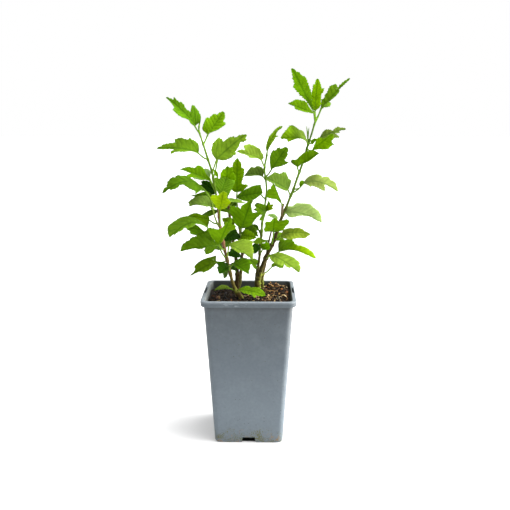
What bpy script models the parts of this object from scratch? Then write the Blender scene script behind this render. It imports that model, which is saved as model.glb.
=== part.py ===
"""A potted rose of sharon: four leafy stems in a tall square nursery pot.

Metres, +Z up. The origin is on the ground under the middle of the pot, and the
front of the pot faces -Y. Sizes are written in millimetres and turned to metres
where a mesh is made.
"""

import math
import random
from collections import namedtuple

import bmesh
import bpy
from mathutils import Euler, Matrix, Vector

MM = 0.001
SHARP_FROM = 32

# Pot: a tall square container of recycled polypropylene, 150 mm over the rim.
RIM_HALF = 75.0
RIM_HEIGHT = 245.0
LIP_DEEP = 9.2
BODY_TOP_HALF = 70.0
BODY_FOOT_HALF = 55.2
WALL = 1.5
LIP_WALL = 1.8
FLOOR_UNDER = 8.5
FLOOR_THICK = 2.0
FOOT_WIDE = 3.0
CORNER_STEPS = 4
NOTCH_TOP, NOTCH_FOOT, NOTCH_HIGH, NOTCH_DEEP = 20.0, 25.0, 8.2, 14.0
SLOT_LONG, SLOT_WIDE = 38.0, 3.2
DRAIN_RADIUS, DRAIN_OUT = 6.0, 30.0
CENTRE_FOOT_RADIUS = 15.0

# Compost: it fills the pot to 14 mm under the rim, with a heap of bark at the back right.
FIT_GAP = 0.3
SOIL_LEVEL = 231.0
HEAP_AT, HEAP_WIDE, HEAP_HIGH = (42.0, 44.0), (30.0, 26.0), 10.0
SOIL_RINGS = 11
BARK_COUNT = 46
BARK_SEED = 7
BARK_CLEAR = 15.0
ROOT_DEEP = 36.0
HOLE_GAP = 0.5

# Leaves: blades and their stalks.
BLADE_THICK = 0.75
STALK_RADIUS = 0.85
STALK_SAG = 0.10
STALK_RUNS_TO = 0.11
STALK_UNDER = 0.35
ARCH_PEAK = 0.42
WAVE = 0.022

# The eye that the stems and leaves were set out from: about a metre in front of the
# pot and looking down at it a little.
EYE = Vector((28.0, -1062.0, 513.0))

# Half a blade's edge from stalk to tip, as (along, across) in blade lengths, first
# for a plain toothed leaf and then for a deeply three-lobed one. A leaf is a mix.
PLAIN_EDGE = (
    (0.04, 0.15), (0.27, 0.315), (0.295, 0.285), (0.47, 0.34), (0.50, 0.29), (0.67, 0.265),
    (0.69, 0.225), (0.83, 0.165), (0.85, 0.12),
)
LOBED_EDGE = (
    (0.03, 0.12), (0.25, 0.31), (0.285, 0.285), (0.50, 0.45), (0.39, 0.18), (0.62, 0.20),
    (0.645, 0.165), (0.80, 0.135), (0.83, 0.095),
)
RIB_STATIONS = (0.0, 0.13, 0.32, 0.52, 0.78, 1.0)
# The rib station that each edge point is joined to.
EDGE_STATION = (0, 1, 1, 1, 2, 3, 3, 4, 4)

Leaf = namedtuple("Leaf", "cane node base tip wide lobes turn arch fold")
Cane = namedtuple("Cane", "points fork")


def leaf(cane, node, base, tip, wide=1.0, lobes=(0.8, 0.8), turn=25, arch=4, fold=20):
    """cane and node: the cane it grows on, and the height of its joint as it is seen.
    base, tip: ends of the blade as (right, up, back). lobes: left and right lobe, 0 to 1.6.
    turn: degrees from facing the eye towards facing the sky. arch: rise of the rib in mm."""
    return Leaf(cane, node, base, tip, wide, lobes, turn, arch, fold)


# Every point is (right, up, back): right and up are read on the upright plane through
# the middle of the pot, and back is how far behind it the point is, along the eye's
# sight line. A cane's points also have its radius.
STEMS = {
    "stem_left": {
        "foot": (-14.0, 0.0, 4.6),
        "canes": {
            "main": Cane([
                (-14, 234, 0, 4.5), (-19, 240, 0, 4.2), (-24, 248, -1, 3.6), (-28, 259, -2, 3.1),
                (-31, 271, -3, 2.8), (-34, 285, -4, 2.6), (-38, 303, -5, 2.4), (-42, 320, -6, 2.3),
                (-45, 338, -7, 2.1), (-48, 355, -8, 1.9), (-50, 373, -8, 1.8), (-52, 394, -8, 1.7),
                (-56, 418, -8, 1.6), (-60, 441, -8, 1.6), (-66, 461, -8, 1.6), (-73, 484, -8, 1.4),
                (-79, 503, -8, 1.1), (-80, 513, -8, 0.9)], None),
            "shoot": Cane([
                (-49, 351, -8, 1.2), (-54, 362, -11, 1.2), (-58, 375, -14, 1.1), (-60, 388, -16, 1.1),
                (-63, 398, -17, 1.0), (-67, 405, -18, 1.0)], "main"),
        },
        "leaves": [
            leaf("main", 244, (-30, 247, 4), (-62, 240, 18), turn=64, arch=5, fold=-10, lobes=(0.3, 0.3)),
            leaf("main", 240, (-17, 246, -4), (27, 237, -24), turn=38, arch=3, lobes=(0.4, 0.5)),
            leaf("main", 272, (-35, 276, 6), (-43, 270, 30), turn=30, arch=2),
            leaf("main", 277, (-38, 279, -14), (-54, 281, -48), turn=5, arch=5, lobes=(0.6, 0.6)),
            leaf("main", 285, (-27, 292, -20), (-1, 273, -50), turn=20, lobes=(1.2, 0.3)),
            leaf("main", 288, (-54, 296, -12), (-98, 270, -34), turn=40, arch=5, fold=-8, lobes=(0.5, 0.3)),
            leaf("main", 300, (-32, 323, -12), (5, 298, -52), turn=28, arch=5, lobes=(0.6, 0.5)),
            leaf("main", 309, (-51, 320, -16), (-114, 311, -34), turn=22, arch=5, lobes=(1.0, 1.1)),
            leaf("main", 314, (-50, 322, -30), (-31, 371, -52), turn=4, arch=3, lobes=(1.1, 0.3)),
            leaf("main", 326, (-68, 352, -22), (-129, 334, -48), turn=58, arch=21, fold=-14,
                 lobes=(0.5, 0.4)),
            leaf("main", 335, (-64, 343, 2), (-105, 345, 20), turn=26, arch=3, lobes=(0.5, 0.5)),
            leaf("main", 352, (-47, 381, -30), (-42, 409, -62), turn=0, arch=4, lobes=(1.1, 1.0)),
            leaf("shoot", 357, (-66, 363, -4), (-101, 367, 18), turn=25, arch=3, lobes=(0.3, 0.6)),
            leaf("main", 338, (-52, 346, 20), (-79, 347, 62), turn=35, lobes=(0.5, 0.6)),
            leaf("main", 420, (-64, 432, 14), (-88, 438, 48), turn=35, lobes=(0.6, 0.5)),
            leaf("main", 430, (-50, 462, 12), (-25, 477, 50), turn=20, lobes=(0.3, 0.4)),
            leaf("main", 368, (-44, 379, 16), (-80, 372, 42), turn=60, arch=5, lobes=(0.3, 0.3)),
            leaf("shoot", 380, (-62, 384, -18), (-98, 388, -42), turn=35, arch=5, lobes=(0.4, 0.6)),
            leaf("shoot", 405, (-72, 411, -22), (-142, 407, -52), turn=56, arch=21, fold=-16,
                 lobes=(0.6, 0.4)),
            leaf("main", 396, (-59, 402, 6), (-96, 404, 20), turn=30, arch=3, lobes=(0.8, 0.8)),
            leaf("main", 400, (-54, 408, 16), (-81, 425, 34), turn=15, arch=2, lobes=(0.7, 0.7)),
            leaf("main", 394, (-46, 405, 6), (-32, 436, 20), wide=0.9, turn=-28, arch=5),
            leaf("main", 411, (-64, 428, -6), (-111, 446, -14), turn=44, arch=4, lobes=(0.4, 0.4)),
            leaf("main", 441, (-53, 460, -14), (-4, 501, -34), turn=18, arch=3, lobes=(0.8, 0.6)),
            leaf("main", 461, (-83, 474, -14), (-149, 479, -34), turn=46, arch=8, fold=4, lobes=(0.5, 0.4)),
            leaf("main", 485, (-66, 500, -4), (-40, 535, 12), turn=8, arch=2, lobes=(0.5, 0.6)),
            leaf("main", 503, (-86, 514, -12), (-132, 558, -24), turn=32, lobes=(0.4, 0.9)),
            leaf("main", 512, (-79, 517, -7), (-77, 532, -4), wide=0.5, turn=20, arch=1, lobes=(0, 0)),
        ],
    },
    "stem_middle": {
        "foot": (-20.5, 42.0, 6.2),
        "canes": {
            "brown": Cane([
                (-21, 244, 42, 4.2), (-21, 256, 42, 3.6), (-20, 270, 43, 3.2), (-21, 290, 44, 2.9),
                (-24, 312, 45, 2.5), (-28, 335, 45, 2.2), (-31, 355, 45, 1.9), (-32, 372, 44, 1.7),
                (-34, 388, 42, 1.4), (-36, 400, 40, 1.1)], None),
            "olive": Cane([
                (-19, 247, 43, 3.4), (-16, 260, 46, 3.0), (-14, 277, 48, 2.6), (-12, 300, 50, 2.2),
                (-13, 325, 52, 2.0), (-16, 350, 53, 1.8), (-19, 375, 52, 1.5), (-20, 392, 50, 1.3),
                (-20, 402, 48, 1.1)], "brown"),
            "snag": Cane([(-13, 297, 50, 1.9), (-11, 305, 45, 1.7), (-8, 310, 41, 1.5)], "olive"),
        },
        "leaves": [
            leaf("brown", 272, (-24, 284, 34), (-36, 284, 14), turn=20, arch=2, lobes=(0.4, 0.4)),
            leaf("olive", 300, (-17, 312, 38), (-37, 308, 14), turn=15, arch=3, lobes=(0.5, 0.8)),
            leaf("olive", 322, (-19, 342, 36), (-42, 329, 12), turn=10, arch=3, lobes=(0.4, 0.6)),
            leaf("olive", 328, (-9, 345, 38), (15, 336, 14), turn=35, arch=4, lobes=(0.6, 0.3)),
            leaf("brown", 312, (-30, 323, 60), (-54, 319, 104), turn=40, lobes=(0.6, 0.6)),
            leaf("brown", 372, (-38, 384, 58), (-62, 393, 98), turn=35, lobes=(0.6, 0.6)),
            leaf("olive", 314, (-11, 324, 70), (-4, 331, 112), turn=40, lobes=(0.6, 0.6)),
            leaf("olive", 352, (-8, 362, 70), (0, 380, 110), turn=30, lobes=(0.6, 0.6)),
            leaf("brown", 345, (-27, 353, 32), (-45, 367, 14), turn=12, arch=2, lobes=(0.5, 0.5)),
            leaf("olive", 338, (-13, 350, 18), (3, 397, -4), turn=2, arch=3, lobes=(1.0, 0.4)),
            leaf("brown", 388, (-33, 400, 14), (-3, 392, -12), turn=68, arch=-3, lobes=(0.3, 0.3)),
            leaf("olive", 388, (-20, 400, 32), (22, 408, 12), turn=20, arch=3, lobes=(0.8, 0.2)),
            leaf("brown", 400, (-39, 413, 34), (-35, 451, 18), turn=-10, arch=3, lobes=(0.4, 0.4)),
            leaf("olive", 402, (-20, 409, 48), (-19, 464, 40), turn=6, arch=2, lobes=(0.8, 0.9)),
        ],
    },
    "stem_right": {
        "foot": (13.5, 36.0, 5.6),
        "canes": {
            "trunk": Cane([
                (14, 246, 36, 5.5), (14, 254, 36, 5.0), (15, 263, 36, 4.4), (18, 274, 35, 3.6),
                (21, 285, 34, 3.3), (26, 297, 33, 3.2), (31, 309, 32, 3.1), (36, 320, 31, 3.0),
                (41, 332, 30, 2.8), (46, 346, 29, 2.7), (50, 360, 28, 2.6), (54, 373, 27, 2.6),
                (57, 381, 27, 2.2), (60, 388, 26, 1.7), (65, 400, 25, 1.7), (70, 412, 24, 1.7),
                (74, 426, 23, 1.7), (79, 442, 22, 1.7), (84, 456, 21, 1.6), (88, 466, 20, 1.6),
                (92, 478, 20, 1.5), (96, 491, 20, 1.4), (100, 504, 20, 1.3), (103, 515, 20, 1.2),
                (106, 524, 20, 1.1)], None),
            "stub": Cane([(54, 372, 27, 1.9), (55, 381, 24, 1.6), (56, 390, 22, 1.4)], "trunk"),
            "slim": Cane([
                (13, 256, 36, 3.6), (12, 265, 38, 2.9), (13, 276, 40, 2.5), (15, 290, 41, 2.2),
                (17, 305, 41, 2.0), (18, 322, 40, 1.9), (20, 340, 39, 1.8), (21, 357, 38, 1.7),
                (22, 372, 36, 1.6), (25, 385, 35, 1.5), (27, 400, 34, 1.4), (28, 413, 34, 1.4),
                (27, 427, 33, 1.4), (25, 441, 32, 1.4), (24, 451, 32, 1.3), (26, 461, 32, 1.1),
                (28, 469, 32, 1.0)], "trunk"),
        },
        "leaves": [
            leaf("slim", 283, (11, 287, 28), (-1, 298, 6), turn=30, arch=2, lobes=(0.4, 0.4)),
            leaf("slim", 310, (13, 318, 32), (3, 309, 10), turn=12, arch=2, lobes=(0.5, 0.5)),
            leaf("slim", 308, (22, 316, 28), (33, 321, 12), turn=10, arch=2, lobes=(0.7, 0.7)),
            leaf("slim", 322, (30, 331, 16), (3, 326, -8), turn=42, arch=4, lobes=(0.5, 0.5)),
            leaf("slim", 338, (15, 348, 44), (-3, 353, 54), turn=20, arch=2, lobes=(0.5, 0.5)),
            leaf("slim", 357, (13, 366, 44), (3, 382, 60), turn=10, arch=2, lobes=(0.7, 0.7)),
            leaf("slim", 366, (26, 377, 18), (8, 388, -8), turn=6, arch=3, lobes=(0.9, 0.9)),
            leaf("slim", 369, (31, 378, 30), (41, 387, 4), turn=10, arch=3, lobes=(0.7, 0.7)),
            leaf("slim", 398, (19, 405, 42), (-4, 412, 60), turn=30, arch=2, lobes=(0.3, 0.3)),
            leaf("slim", 430, (21, 437, 44), (-9, 434, 66), turn=48, arch=10, lobes=(0.3, 0.6)),
            leaf("slim", 433, (35, 444, 26), (59, 481, 8), turn=6, arch=2, lobes=(0.4, 1.1)),
            leaf("slim", 449, (20, 460, 26), (-20, 474, 6), turn=38, arch=4, lobes=(0.5, 0.9)),
            leaf("slim", 468, (29, 475, 32), (53, 514, 34), wide=0.8, turn=74, arch=6, lobes=(0.5, 0.5)),
            leaf("slim", 345, (27, 352, 58), (37, 363, 98), turn=35, lobes=(0.6, 0.6)),
            leaf("trunk", 414, (84, 424, 42), (111, 425, 82), turn=35, lobes=(0.3, 0.3)),
            leaf("trunk", 300, (34, 305, 12), (82, 276, -18), turn=36, arch=6, fold=4, lobes=(0.4, 0.7)),
            leaf("trunk", 303, (48, 313, 30), (109, 299, 8), wide=0.8, turn=34, arch=10, fold=-6,
                 lobes=(1.0, 0.9)),
            leaf("trunk", 322, (38, 345, 6), (45, 368, -32), turn=0, arch=4, fold=24, lobes=(0.9, 1.0)),
            leaf("trunk", 331, (51, 337, 20), (101, 340, 4), turn=44, arch=7, fold=4, lobes=(0.3, 0.4)),
            leaf("trunk", 374, (63, 377, 20), (117, 361, -2), turn=48, arch=15, fold=-8, lobes=(0.3, 0.5)),
            leaf("stub", 388, (52, 394, 8), (31, 410, -22), turn=0, arch=3, fold=10, lobes=(0.6, 1.1)),
            leaf("trunk", 403, (62, 412, 20), (27, 432, 4), turn=16, arch=3, lobes=(0.3, 0.9)),
            leaf("trunk", 407, (86, 422, 16), (142, 410, -2), turn=46, arch=16, fold=-12, lobes=(0.4, 0.8)),
            leaf("trunk", 441, (78, 451, 6), (113, 471, -14), turn=24, arch=3, lobes=(0.7, 0.5)),
            leaf("trunk", 478, (102, 481, 12), (135, 489, -8), turn=14, arch=3, lobes=(1.0, 0.6)),
            leaf("trunk", 485, (91, 492, 12), (52, 494, -10), turn=50, arch=13, fold=-10, lobes=(0.4, 0.3)),
            leaf("trunk", 487, (99, 489, 10), (108, 494, -8), wide=0.9, turn=20, arch=2, lobes=(0.2, 0.2)),
            leaf("trunk", 489, (93, 494, 27), (91, 512, 30), wide=0.4, turn=40, arch=1, lobes=(0, 0)),
            leaf("trunk", 491, (108, 493, 30), (153, 509, 46), turn=48, arch=4, fold=6, lobes=(0.5, 0.4)),
            leaf("trunk", 524, (103, 534, 16), (67, 603, 4), wide=0.55, turn=6, arch=3, fold=12,
                 lobes=(0, 0)),
            leaf("trunk", 522, (104, 536, 19), (107, 587, 15), wide=0.55, turn=6, arch=2, fold=12,
                 lobes=(0, 0)),
            leaf("trunk", 520, (102, 534, 13), (61, 549, 0), wide=0.5, turn=10, arch=3, fold=12,
                 lobes=(0, 0)),
            leaf("trunk", 524, (114, 541, 24), (158, 587, 40), turn=48, arch=3, fold=30, lobes=(0.9, 0.6)),
            leaf("trunk", 516, (115, 545, 36), (128, 550, 56), turn=20, arch=2, lobes=(0.4, 0.4)),
        ],
    },
    "stem_back": {
        "foot": (20.8, 47.5, 3.6),
        "canes": {
            "main": Cane([
                (21, 249, 47, 3.5), (21, 262, 47, 3.1), (22, 274, 47, 2.8), (25, 286, 48, 2.4),
                (28, 300, 49, 2.0), (30, 316, 50, 1.7), (33, 332, 51, 1.4), (37, 348, 52, 1.2),
                (41, 360, 52, 1.0)], None),
        },
        "leaves": [
            leaf("main", 273, (36, 284, 56), (54, 291, 74), turn=20, arch=3, lobes=(0.5, 0.5)),
            leaf("main", 318, (36, 322, 60), (52, 331, 84), turn=25, arch=3, lobes=(0.5, 0.5)),
            leaf("main", 360, (44, 367, 56), (27, 374, 72), turn=55, arch=3, lobes=(0.4, 0.4)),
        ],
    },
}

MATERIALS = {
    "pot": ((0.16, 0.20, 0.24), 0.55),
    "soil": ((0.035, 0.022, 0.014), 0.95),
    "plant": ((0.11, 0.27, 0.03), 0.5),
}


def start_scene():
    """An empty scene with a collection for the plant and one for the cutters."""
    for obj in list(bpy.data.objects):
        bpy.data.objects.remove(obj)
    for name in ("potted_rose_of_sharon", "cutters"):
        bpy.context.scene.collection.children.link(bpy.data.collections.new(name))


def material(name):
    colour, roughness = MATERIALS[name]
    made = bpy.data.materials.new(name)
    made.use_nodes = True
    shader = made.node_tree.nodes["Principled BSDF"]
    shader.inputs["Base Color"].default_value = (*colour, 1.0)
    shader.inputs["Roughness"].default_value = roughness
    shader.inputs["Metallic"].default_value = 0.0
    return made


def object_from(bm, name, collection="potted_rose_of_sharon"):
    """A mesh object, in metres, from a bmesh drawn in millimetres."""
    bmesh.ops.transform(bm, matrix=Matrix.Scale(MM, 4), verts=bm.verts)
    mesh = bpy.data.meshes.new(name)
    bm.to_mesh(mesh)
    bm.free()
    obj = bpy.data.objects.new(name, mesh)
    bpy.data.collections[collection].objects.link(obj)
    return obj


def applied(obj):
    """The object with its modifiers made part of its mesh."""
    bpy.context.view_layer.update()
    graph = bpy.context.evaluated_depsgraph_get()
    mesh = bpy.data.meshes.new_from_object(obj.evaluated_get(graph))
    obj.modifiers.clear()
    obj.data = mesh
    return obj


def shade(obj):
    """Smooth shading over the round stretches, with the real corners kept sharp."""
    obj.data.shade_smooth()
    obj.data.set_sharp_from_angle(angle=math.radians(SHARP_FROM))


def hide_cutter(obj):
    obj.hide_render = True
    obj.display_type = "WIRE"
    return obj


def cut(obj, cutter):
    modifier = obj.modifiers.new("cut_" + cutter.name, "BOOLEAN")
    modifier.operation = "DIFFERENCE"
    modifier.solver = "EXACT"
    modifier.object = hide_cutter(cutter)


def fuse(body, pieces, name, solver="EXACT"):
    """body and every piece joined in one solid, by one union on a collection."""
    group = bpy.data.collections.new(name + "_pieces")
    bpy.context.scene.collection.children.link(group)
    for piece in pieces:
        for owner in list(piece.users_collection):
            owner.objects.unlink(piece)
        group.objects.link(piece)
    union = body.modifiers.new("union", "BOOLEAN")
    union.operation = "UNION"
    union.solver = solver
    union.operand_type = "COLLECTION"
    union.collection = group
    applied(body)
    for piece in pieces:
        bpy.data.objects.remove(piece)
    bpy.data.collections.remove(group)
    body.name = name
    return body


def rounded_square(half, corner, z):
    """Points round a square with round corners, anticlockwise from above."""
    points = []
    for quarter in range(4):
        turn = quarter * math.pi / 2
        centre = Vector((half - corner, half - corner, 0))
        centre.rotate(Euler((0, 0, turn)))
        for step in range(CORNER_STEPS + 1):
            angle = turn + step / CORNER_STEPS * math.pi / 2
            out = Vector((math.cos(angle), math.sin(angle), 0)) * corner
            points.append(Vector((centre.x + out.x, centre.y + out.y, z)))
    return points


def loft(rings, name):
    """A closed solid through rings of equally many points, with its two ends capped."""
    bm = bmesh.new()
    loops = [[bm.verts.new(point) for point in ring] for ring in rings]
    count = len(loops[0])
    for below, above in zip(loops, loops[1:]):
        for i in range(count):
            j = (i + 1) % count
            bm.faces.new((below[i], below[j], above[j], above[i]))
    bm.faces.new(loops[0])
    bm.faces.new(loops[-1])
    bmesh.ops.recalc_face_normals(bm, faces=bm.faces)
    return object_from(bm, name)


def box(name, size, at, collection="cutters"):
    bm = bmesh.new()
    bmesh.ops.create_cube(bm, size=1)
    bmesh.ops.transform(bm, matrix=Matrix.Translation(at) @ Matrix.Diagonal((*size, 1)), verts=bm.verts)
    return object_from(bm, name, collection)


def rod(name, radius, low, high, at, sides=16):
    bm = bmesh.new()
    bmesh.ops.create_cone(
        bm, cap_ends=True, segments=sides, radius1=radius, radius2=radius, depth=high - low
    )
    bmesh.ops.translate(bm, vec=(*at, (low + high) / 2), verts=bm.verts)
    return object_from(bm, name, "cutters")


def body_half(z):
    """Half the width of the pot's outside at height z, below the rim."""
    share = z / (RIM_HEIGHT - 3.5)
    return BODY_FOOT_HALF + (BODY_TOP_HALF - BODY_FOOT_HALF) * share


def make_pot():
    """A tapered shell with a turned-down rim, and a floor held up on a skirt."""
    top = RIM_HEIGHT
    lip_foot = top - LIP_DEEP
    floor = FLOOR_UNDER + FLOOR_THICK
    sections = (
        (body_half(floor) - WALL, 8.0, floor),
        (BODY_TOP_HALF - WALL, 9.2, top - 1.4),
        (BODY_TOP_HALF - WALL + 0.9, 9.8, top),
        (RIM_HALF - 1.0, 12.2, top),
        (RIM_HALF, 13.0, top - 1.2),
        (RIM_HALF - 0.6, 12.6, lip_foot),
        (RIM_HALF - 0.6 - LIP_WALL, 11.2, lip_foot),
        (RIM_HALF - LIP_WALL, 11.6, top - 2.2),
        (BODY_TOP_HALF + 0.2, 10.2, top - 2.2),
        (BODY_TOP_HALF, 10.0, top - 3.5),
        (body_half(4.0), 9.0, 4.0),
        (BODY_FOOT_HALF - 0.6, 8.6, 1.2),
        (BODY_FOOT_HALF - 1.8, 8.0, 0.0),
        (BODY_FOOT_HALF - 1.8 - FOOT_WIDE, 6.6, 0.0),
        (body_half(FLOOR_UNDER) - FOOT_WIDE, 6.8, FLOOR_UNDER),
    )
    pot = loft([rounded_square(*section) for section in sections], "pot")

    for side in range(4):
        notch = loft_notch(f"notch_{side}", side * math.pi / 2)
        cut(pot, notch)
    slot_at = BODY_TOP_HALF + SLOT_WIDE / 2
    for side in (-1, 1):
        cut(pot, box(f"label_slot_{side}", (SLOT_WIDE, SLOT_LONG, 12), (side * slot_at, 2, top)))
    centre_foot = rod("centre_foot", CENTRE_FOOT_RADIUS, 0, FLOOR_UNDER + 1, (0, 0), sides=24)
    union = pot.modifiers.new("add_centre_foot", "BOOLEAN")
    union.operation = "UNION"
    union.solver = "EXACT"
    union.object = hide_cutter(centre_foot)
    drains = [(x * DRAIN_OUT, y * DRAIN_OUT) for x in (-1, 1) for y in (-1, 1)]
    for index, at in enumerate(drains):
        cut(pot, rod(f"drain_{index}", DRAIN_RADIUS, FLOOR_UNDER - 3, floor + 3, at, sides=14))
    pot.data.materials.append(material("pot"))
    shade(pot)
    return pot


def loft_notch(name, angle):
    """A wedge that cuts one drain notch through the skirt, narrower at its top."""
    bm = bmesh.new()
    bmesh.ops.create_cube(bm, size=1)
    for vert in bm.verts:
        wide = NOTCH_TOP if vert.co.z > 0 else NOTCH_FOOT + 1
        out = vert.co.y * NOTCH_DEEP - BODY_FOOT_HALF + 2
        vert.co = Vector((vert.co.x * wide, out, vert.co.z * NOTCH_HIGH * 2))
    bmesh.ops.rotate(bm, verts=bm.verts, matrix=Matrix.Rotation(angle, 3, "Z"))
    return object_from(bm, name, "cutters")


def soil_height(x, y):
    """Height of the compost at a point: a gentle crumbly level, and a heap of bark."""
    heap = ((x - HEAP_AT[0]) / HEAP_WIDE[0]) ** 2 + ((y - HEAP_AT[1]) / HEAP_WIDE[1]) ** 2
    crumbs = math.sin(x * 0.31 + 1) * math.sin(y * 0.27) + 0.6 * math.sin(x * 0.71) * math.sin(y * 0.63 + 2)
    return SOIL_LEVEL + HEAP_HIGH * math.exp(-heap) + 0.9 * crumbs


def make_soil():
    """The compost block, with bark on its top and a plain hole for each stem."""
    foot_z = FLOOR_UNDER + FLOOR_THICK + FIT_GAP
    foot_half = body_half(foot_z) - WALL - FIT_GAP
    brim_half = body_half(SOIL_LEVEL) - WALL - 2 * FIT_GAP
    rings = [rounded_square(foot_half, 7.7, foot_z)]
    for ring in range(SOIL_RINGS):
        share = 1 - ring / SOIL_RINGS
        flat = rounded_square(brim_half * share, 8.5 * share, 0)
        rings.append([Vector((p.x, p.y, soil_height(p.x, p.y))) for p in flat])
    soil = loft(rings, "growing_medium")
    bm = bmesh.new()
    bm.from_mesh(soil.data)
    bmesh.ops.triangulate(bm, faces=bm.faces)
    bm.to_mesh(soil.data)
    bm.free()
    fuse(soil, bark_pieces(brim_half - 5), "growing_medium")
    for stem_name, stem in STEMS.items():
        x, y, radius = stem["foot"]
        floor = soil_height(x, y) - ROOT_DEEP - FIT_GAP
        cut(soil, rod("hole_" + stem_name, radius + HOLE_GAP, floor, RIM_HEIGHT + 20, (x, y), sides=16))
    soil.data.materials.append(material("soil"))
    return soil


def bark_pieces(reach):
    """Chips and splinters of bark, half sunk, thicker over the heap."""
    rng = random.Random(BARK_SEED)
    feet = [stem["foot"] for stem in STEMS.values()]
    pieces = []
    while len(pieces) < BARK_COUNT:
        on_heap = rng.random() < 0.55
        if on_heap:
            x = rng.gauss(HEAP_AT[0], 15)
            y = rng.gauss(HEAP_AT[1] - 12, 20)
        else:
            x = rng.uniform(-reach, reach)
            y = rng.uniform(-reach, reach)
        size = (rng.uniform(7, 17), rng.uniform(2.5, 5), rng.uniform(2.2, 3.2))
        spin = rng.uniform(0, math.pi)
        tilt = rng.gauss(0, 0.28 if on_heap else 0.12)
        room = reach - size[0] / 2
        near_foot = min(math.hypot(x - fx, y - fy) for fx, fy, _ in feet) < BARK_CLEAR
        if abs(x) > room or abs(y) > room or near_foot:
            continue
        bm = bmesh.new()
        bmesh.ops.create_cube(bm, size=1)
        turn = Euler((0, tilt, spin)).to_matrix().to_4x4()
        place = Matrix.Translation((x, y, soil_height(x, y) - 0.7)) @ turn @ Matrix.Diagonal((*size, 1))
        bmesh.ops.transform(bm, matrix=place, verts=bm.verts)
        pieces.append(object_from(bm, f"bark_{len(pieces)}", "cutters"))
    return pieces


def seen(right, up, back):
    """The point at that depth on the sight line through (right, up) on the middle plane."""
    on_plane = Vector((right, 0.0, up))
    return EYE + (on_plane - EYE) * ((back - EYE.y) / -EYE.y)


def tube(name, points, radii, roundness=2):
    """A round stem through the points, as a mesh with closed ends. roundness 2 has 8 sides."""
    curve = bpy.data.curves.new(name, "CURVE")
    curve.dimensions = "3D"
    curve.bevel_depth = MM
    curve.bevel_resolution = roundness
    curve.use_fill_caps = True
    spline = curve.splines.new("POLY")
    spline.points.add(len(points) - 1)
    for knot, point, radius in zip(spline.points, points, radii):
        knot.co = (*(point * MM), 1.0)
        knot.radius = radius
    guide = bpy.data.objects.new(name + "_route", curve)
    bpy.context.scene.collection.objects.link(guide)
    bpy.context.view_layer.update()
    graph = bpy.context.evaluated_depsgraph_get()
    mesh = bpy.data.meshes.new_from_object(guide.evaluated_get(graph))
    bpy.data.objects.remove(guide)
    bm = bmesh.new()
    bm.from_mesh(mesh)
    bmesh.ops.remove_doubles(bm, verts=bm.verts, dist=1e-6)
    bmesh.ops.recalc_face_normals(bm, faces=bm.faces)
    bm.to_mesh(mesh)
    bm.free()
    obj = bpy.data.objects.new(name, mesh)
    bpy.data.collections["potted_rose_of_sharon"].objects.link(obj)
    return obj


def cane_route(cane, foot):
    """The cane's points and radii. A cane that starts in the ground gets a straight root."""
    points = [seen(*knot[:3]) for knot in cane.points]
    radii = [knot[3] for knot in cane.points]
    if cane.fork is None:
        x, y, radius = foot
        ground = soil_height(x, y)
        points = [Vector((x, y, ground - ROOT_DEEP)), Vector((x, y, ground + 1))] + points
        radii = [radius, radius] + radii
    return points, radii


def along_cane(cane, height):
    """The point on the cane that is seen at that height."""
    knots = cane.points
    for low, high in zip(knots, knots[1:]):
        if low[1] <= height <= high[1]:
            share = (height - low[1]) / (high[1] - low[1])
            return seen(*(a + (b - a) * share for a, b in zip(low[:3], high[:3])))
    return seen(*knots[-1][:3])


def mixed_edge(lobe):
    return [
        (a[0] + (b[0] - a[0]) * lobe, a[1] + (b[1] - a[1]) * lobe)
        for a, b in zip(PLAIN_EDGE, LOBED_EDGE)
    ]


class Blade:
    """Where each point of one leaf's surface lies: u runs up the rib, v across it."""

    def __init__(self, spec, seed):
        self.spec = spec
        self.base = seen(*spec.base)
        self.tip = seen(*spec.tip)
        chord = self.tip - self.base
        self.length = chord.length
        along = chord.normalized()
        towards_eye = (EYE - (self.base + self.tip) / 2).normalized()
        facing = (towards_eye - along * towards_eye.dot(along)).normalized()
        skyward = along.cross(facing)
        if skyward.z < 0:
            skyward.negate()
        turn = math.radians(spec.turn)
        self.normal = facing * math.cos(turn) + skyward * math.sin(turn)
        self.side = self.normal.cross(along)
        self.peak = self.base + chord * ARCH_PEAK + self.normal * spec.arch * 2
        rng = random.Random(seed)
        self.waves = {side: rng.uniform(0, 2 * math.pi) for side in (-1, 1)}

    def rib(self, u):
        """A point on the rib, a parabola from base to tip."""
        return self.base * (1 - u) ** 2 + self.peak * 2 * u * (1 - u) + self.tip * u**2

    def at(self, u, v):
        slope = (self.peak - self.base) * (1 - u) + (self.tip - self.peak) * u
        lift = slope.normalized().cross(self.side)
        fold = math.radians(self.spec.fold)
        out = v * self.length * self.spec.wide
        across = self.side * out * math.cos(fold)
        rise = abs(out) * math.sin(fold)
        side = 1 if v > 0 else -1
        rise += WAVE * self.length * math.sin(9 * u + self.waves[side]) * abs(v) / 0.33
        return self.rib(u) + across + lift * rise


def make_blade(blade, name):
    """One lobed and toothed blade: triangles from the rib out to its edge, then a thickness."""
    bm = bmesh.new()
    rib = [bm.verts.new(blade.rib(u)) for u in RIB_STATIONS]
    for side, lobe in zip((1, -1), blade.spec.lobes):
        edge = [bm.verts.new(blade.at(u, side * v)) for u, v in mixed_edge(lobe)]
        outer = [rib[0]] + edge + [rib[-1]]
        station = [0] + list(EDGE_STATION) + [len(rib) - 1]
        for i in range(len(outer) - 1):
            for corners in strip(outer, rib, station, i):
                bm.faces.new(corners if side < 0 else corners[::-1])
    obj = object_from(bm, name)
    solid = obj.modifiers.new("thickness", "SOLIDIFY")
    solid.thickness = BLADE_THICK * MM
    solid.offset = 0
    return applied(obj)


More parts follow.
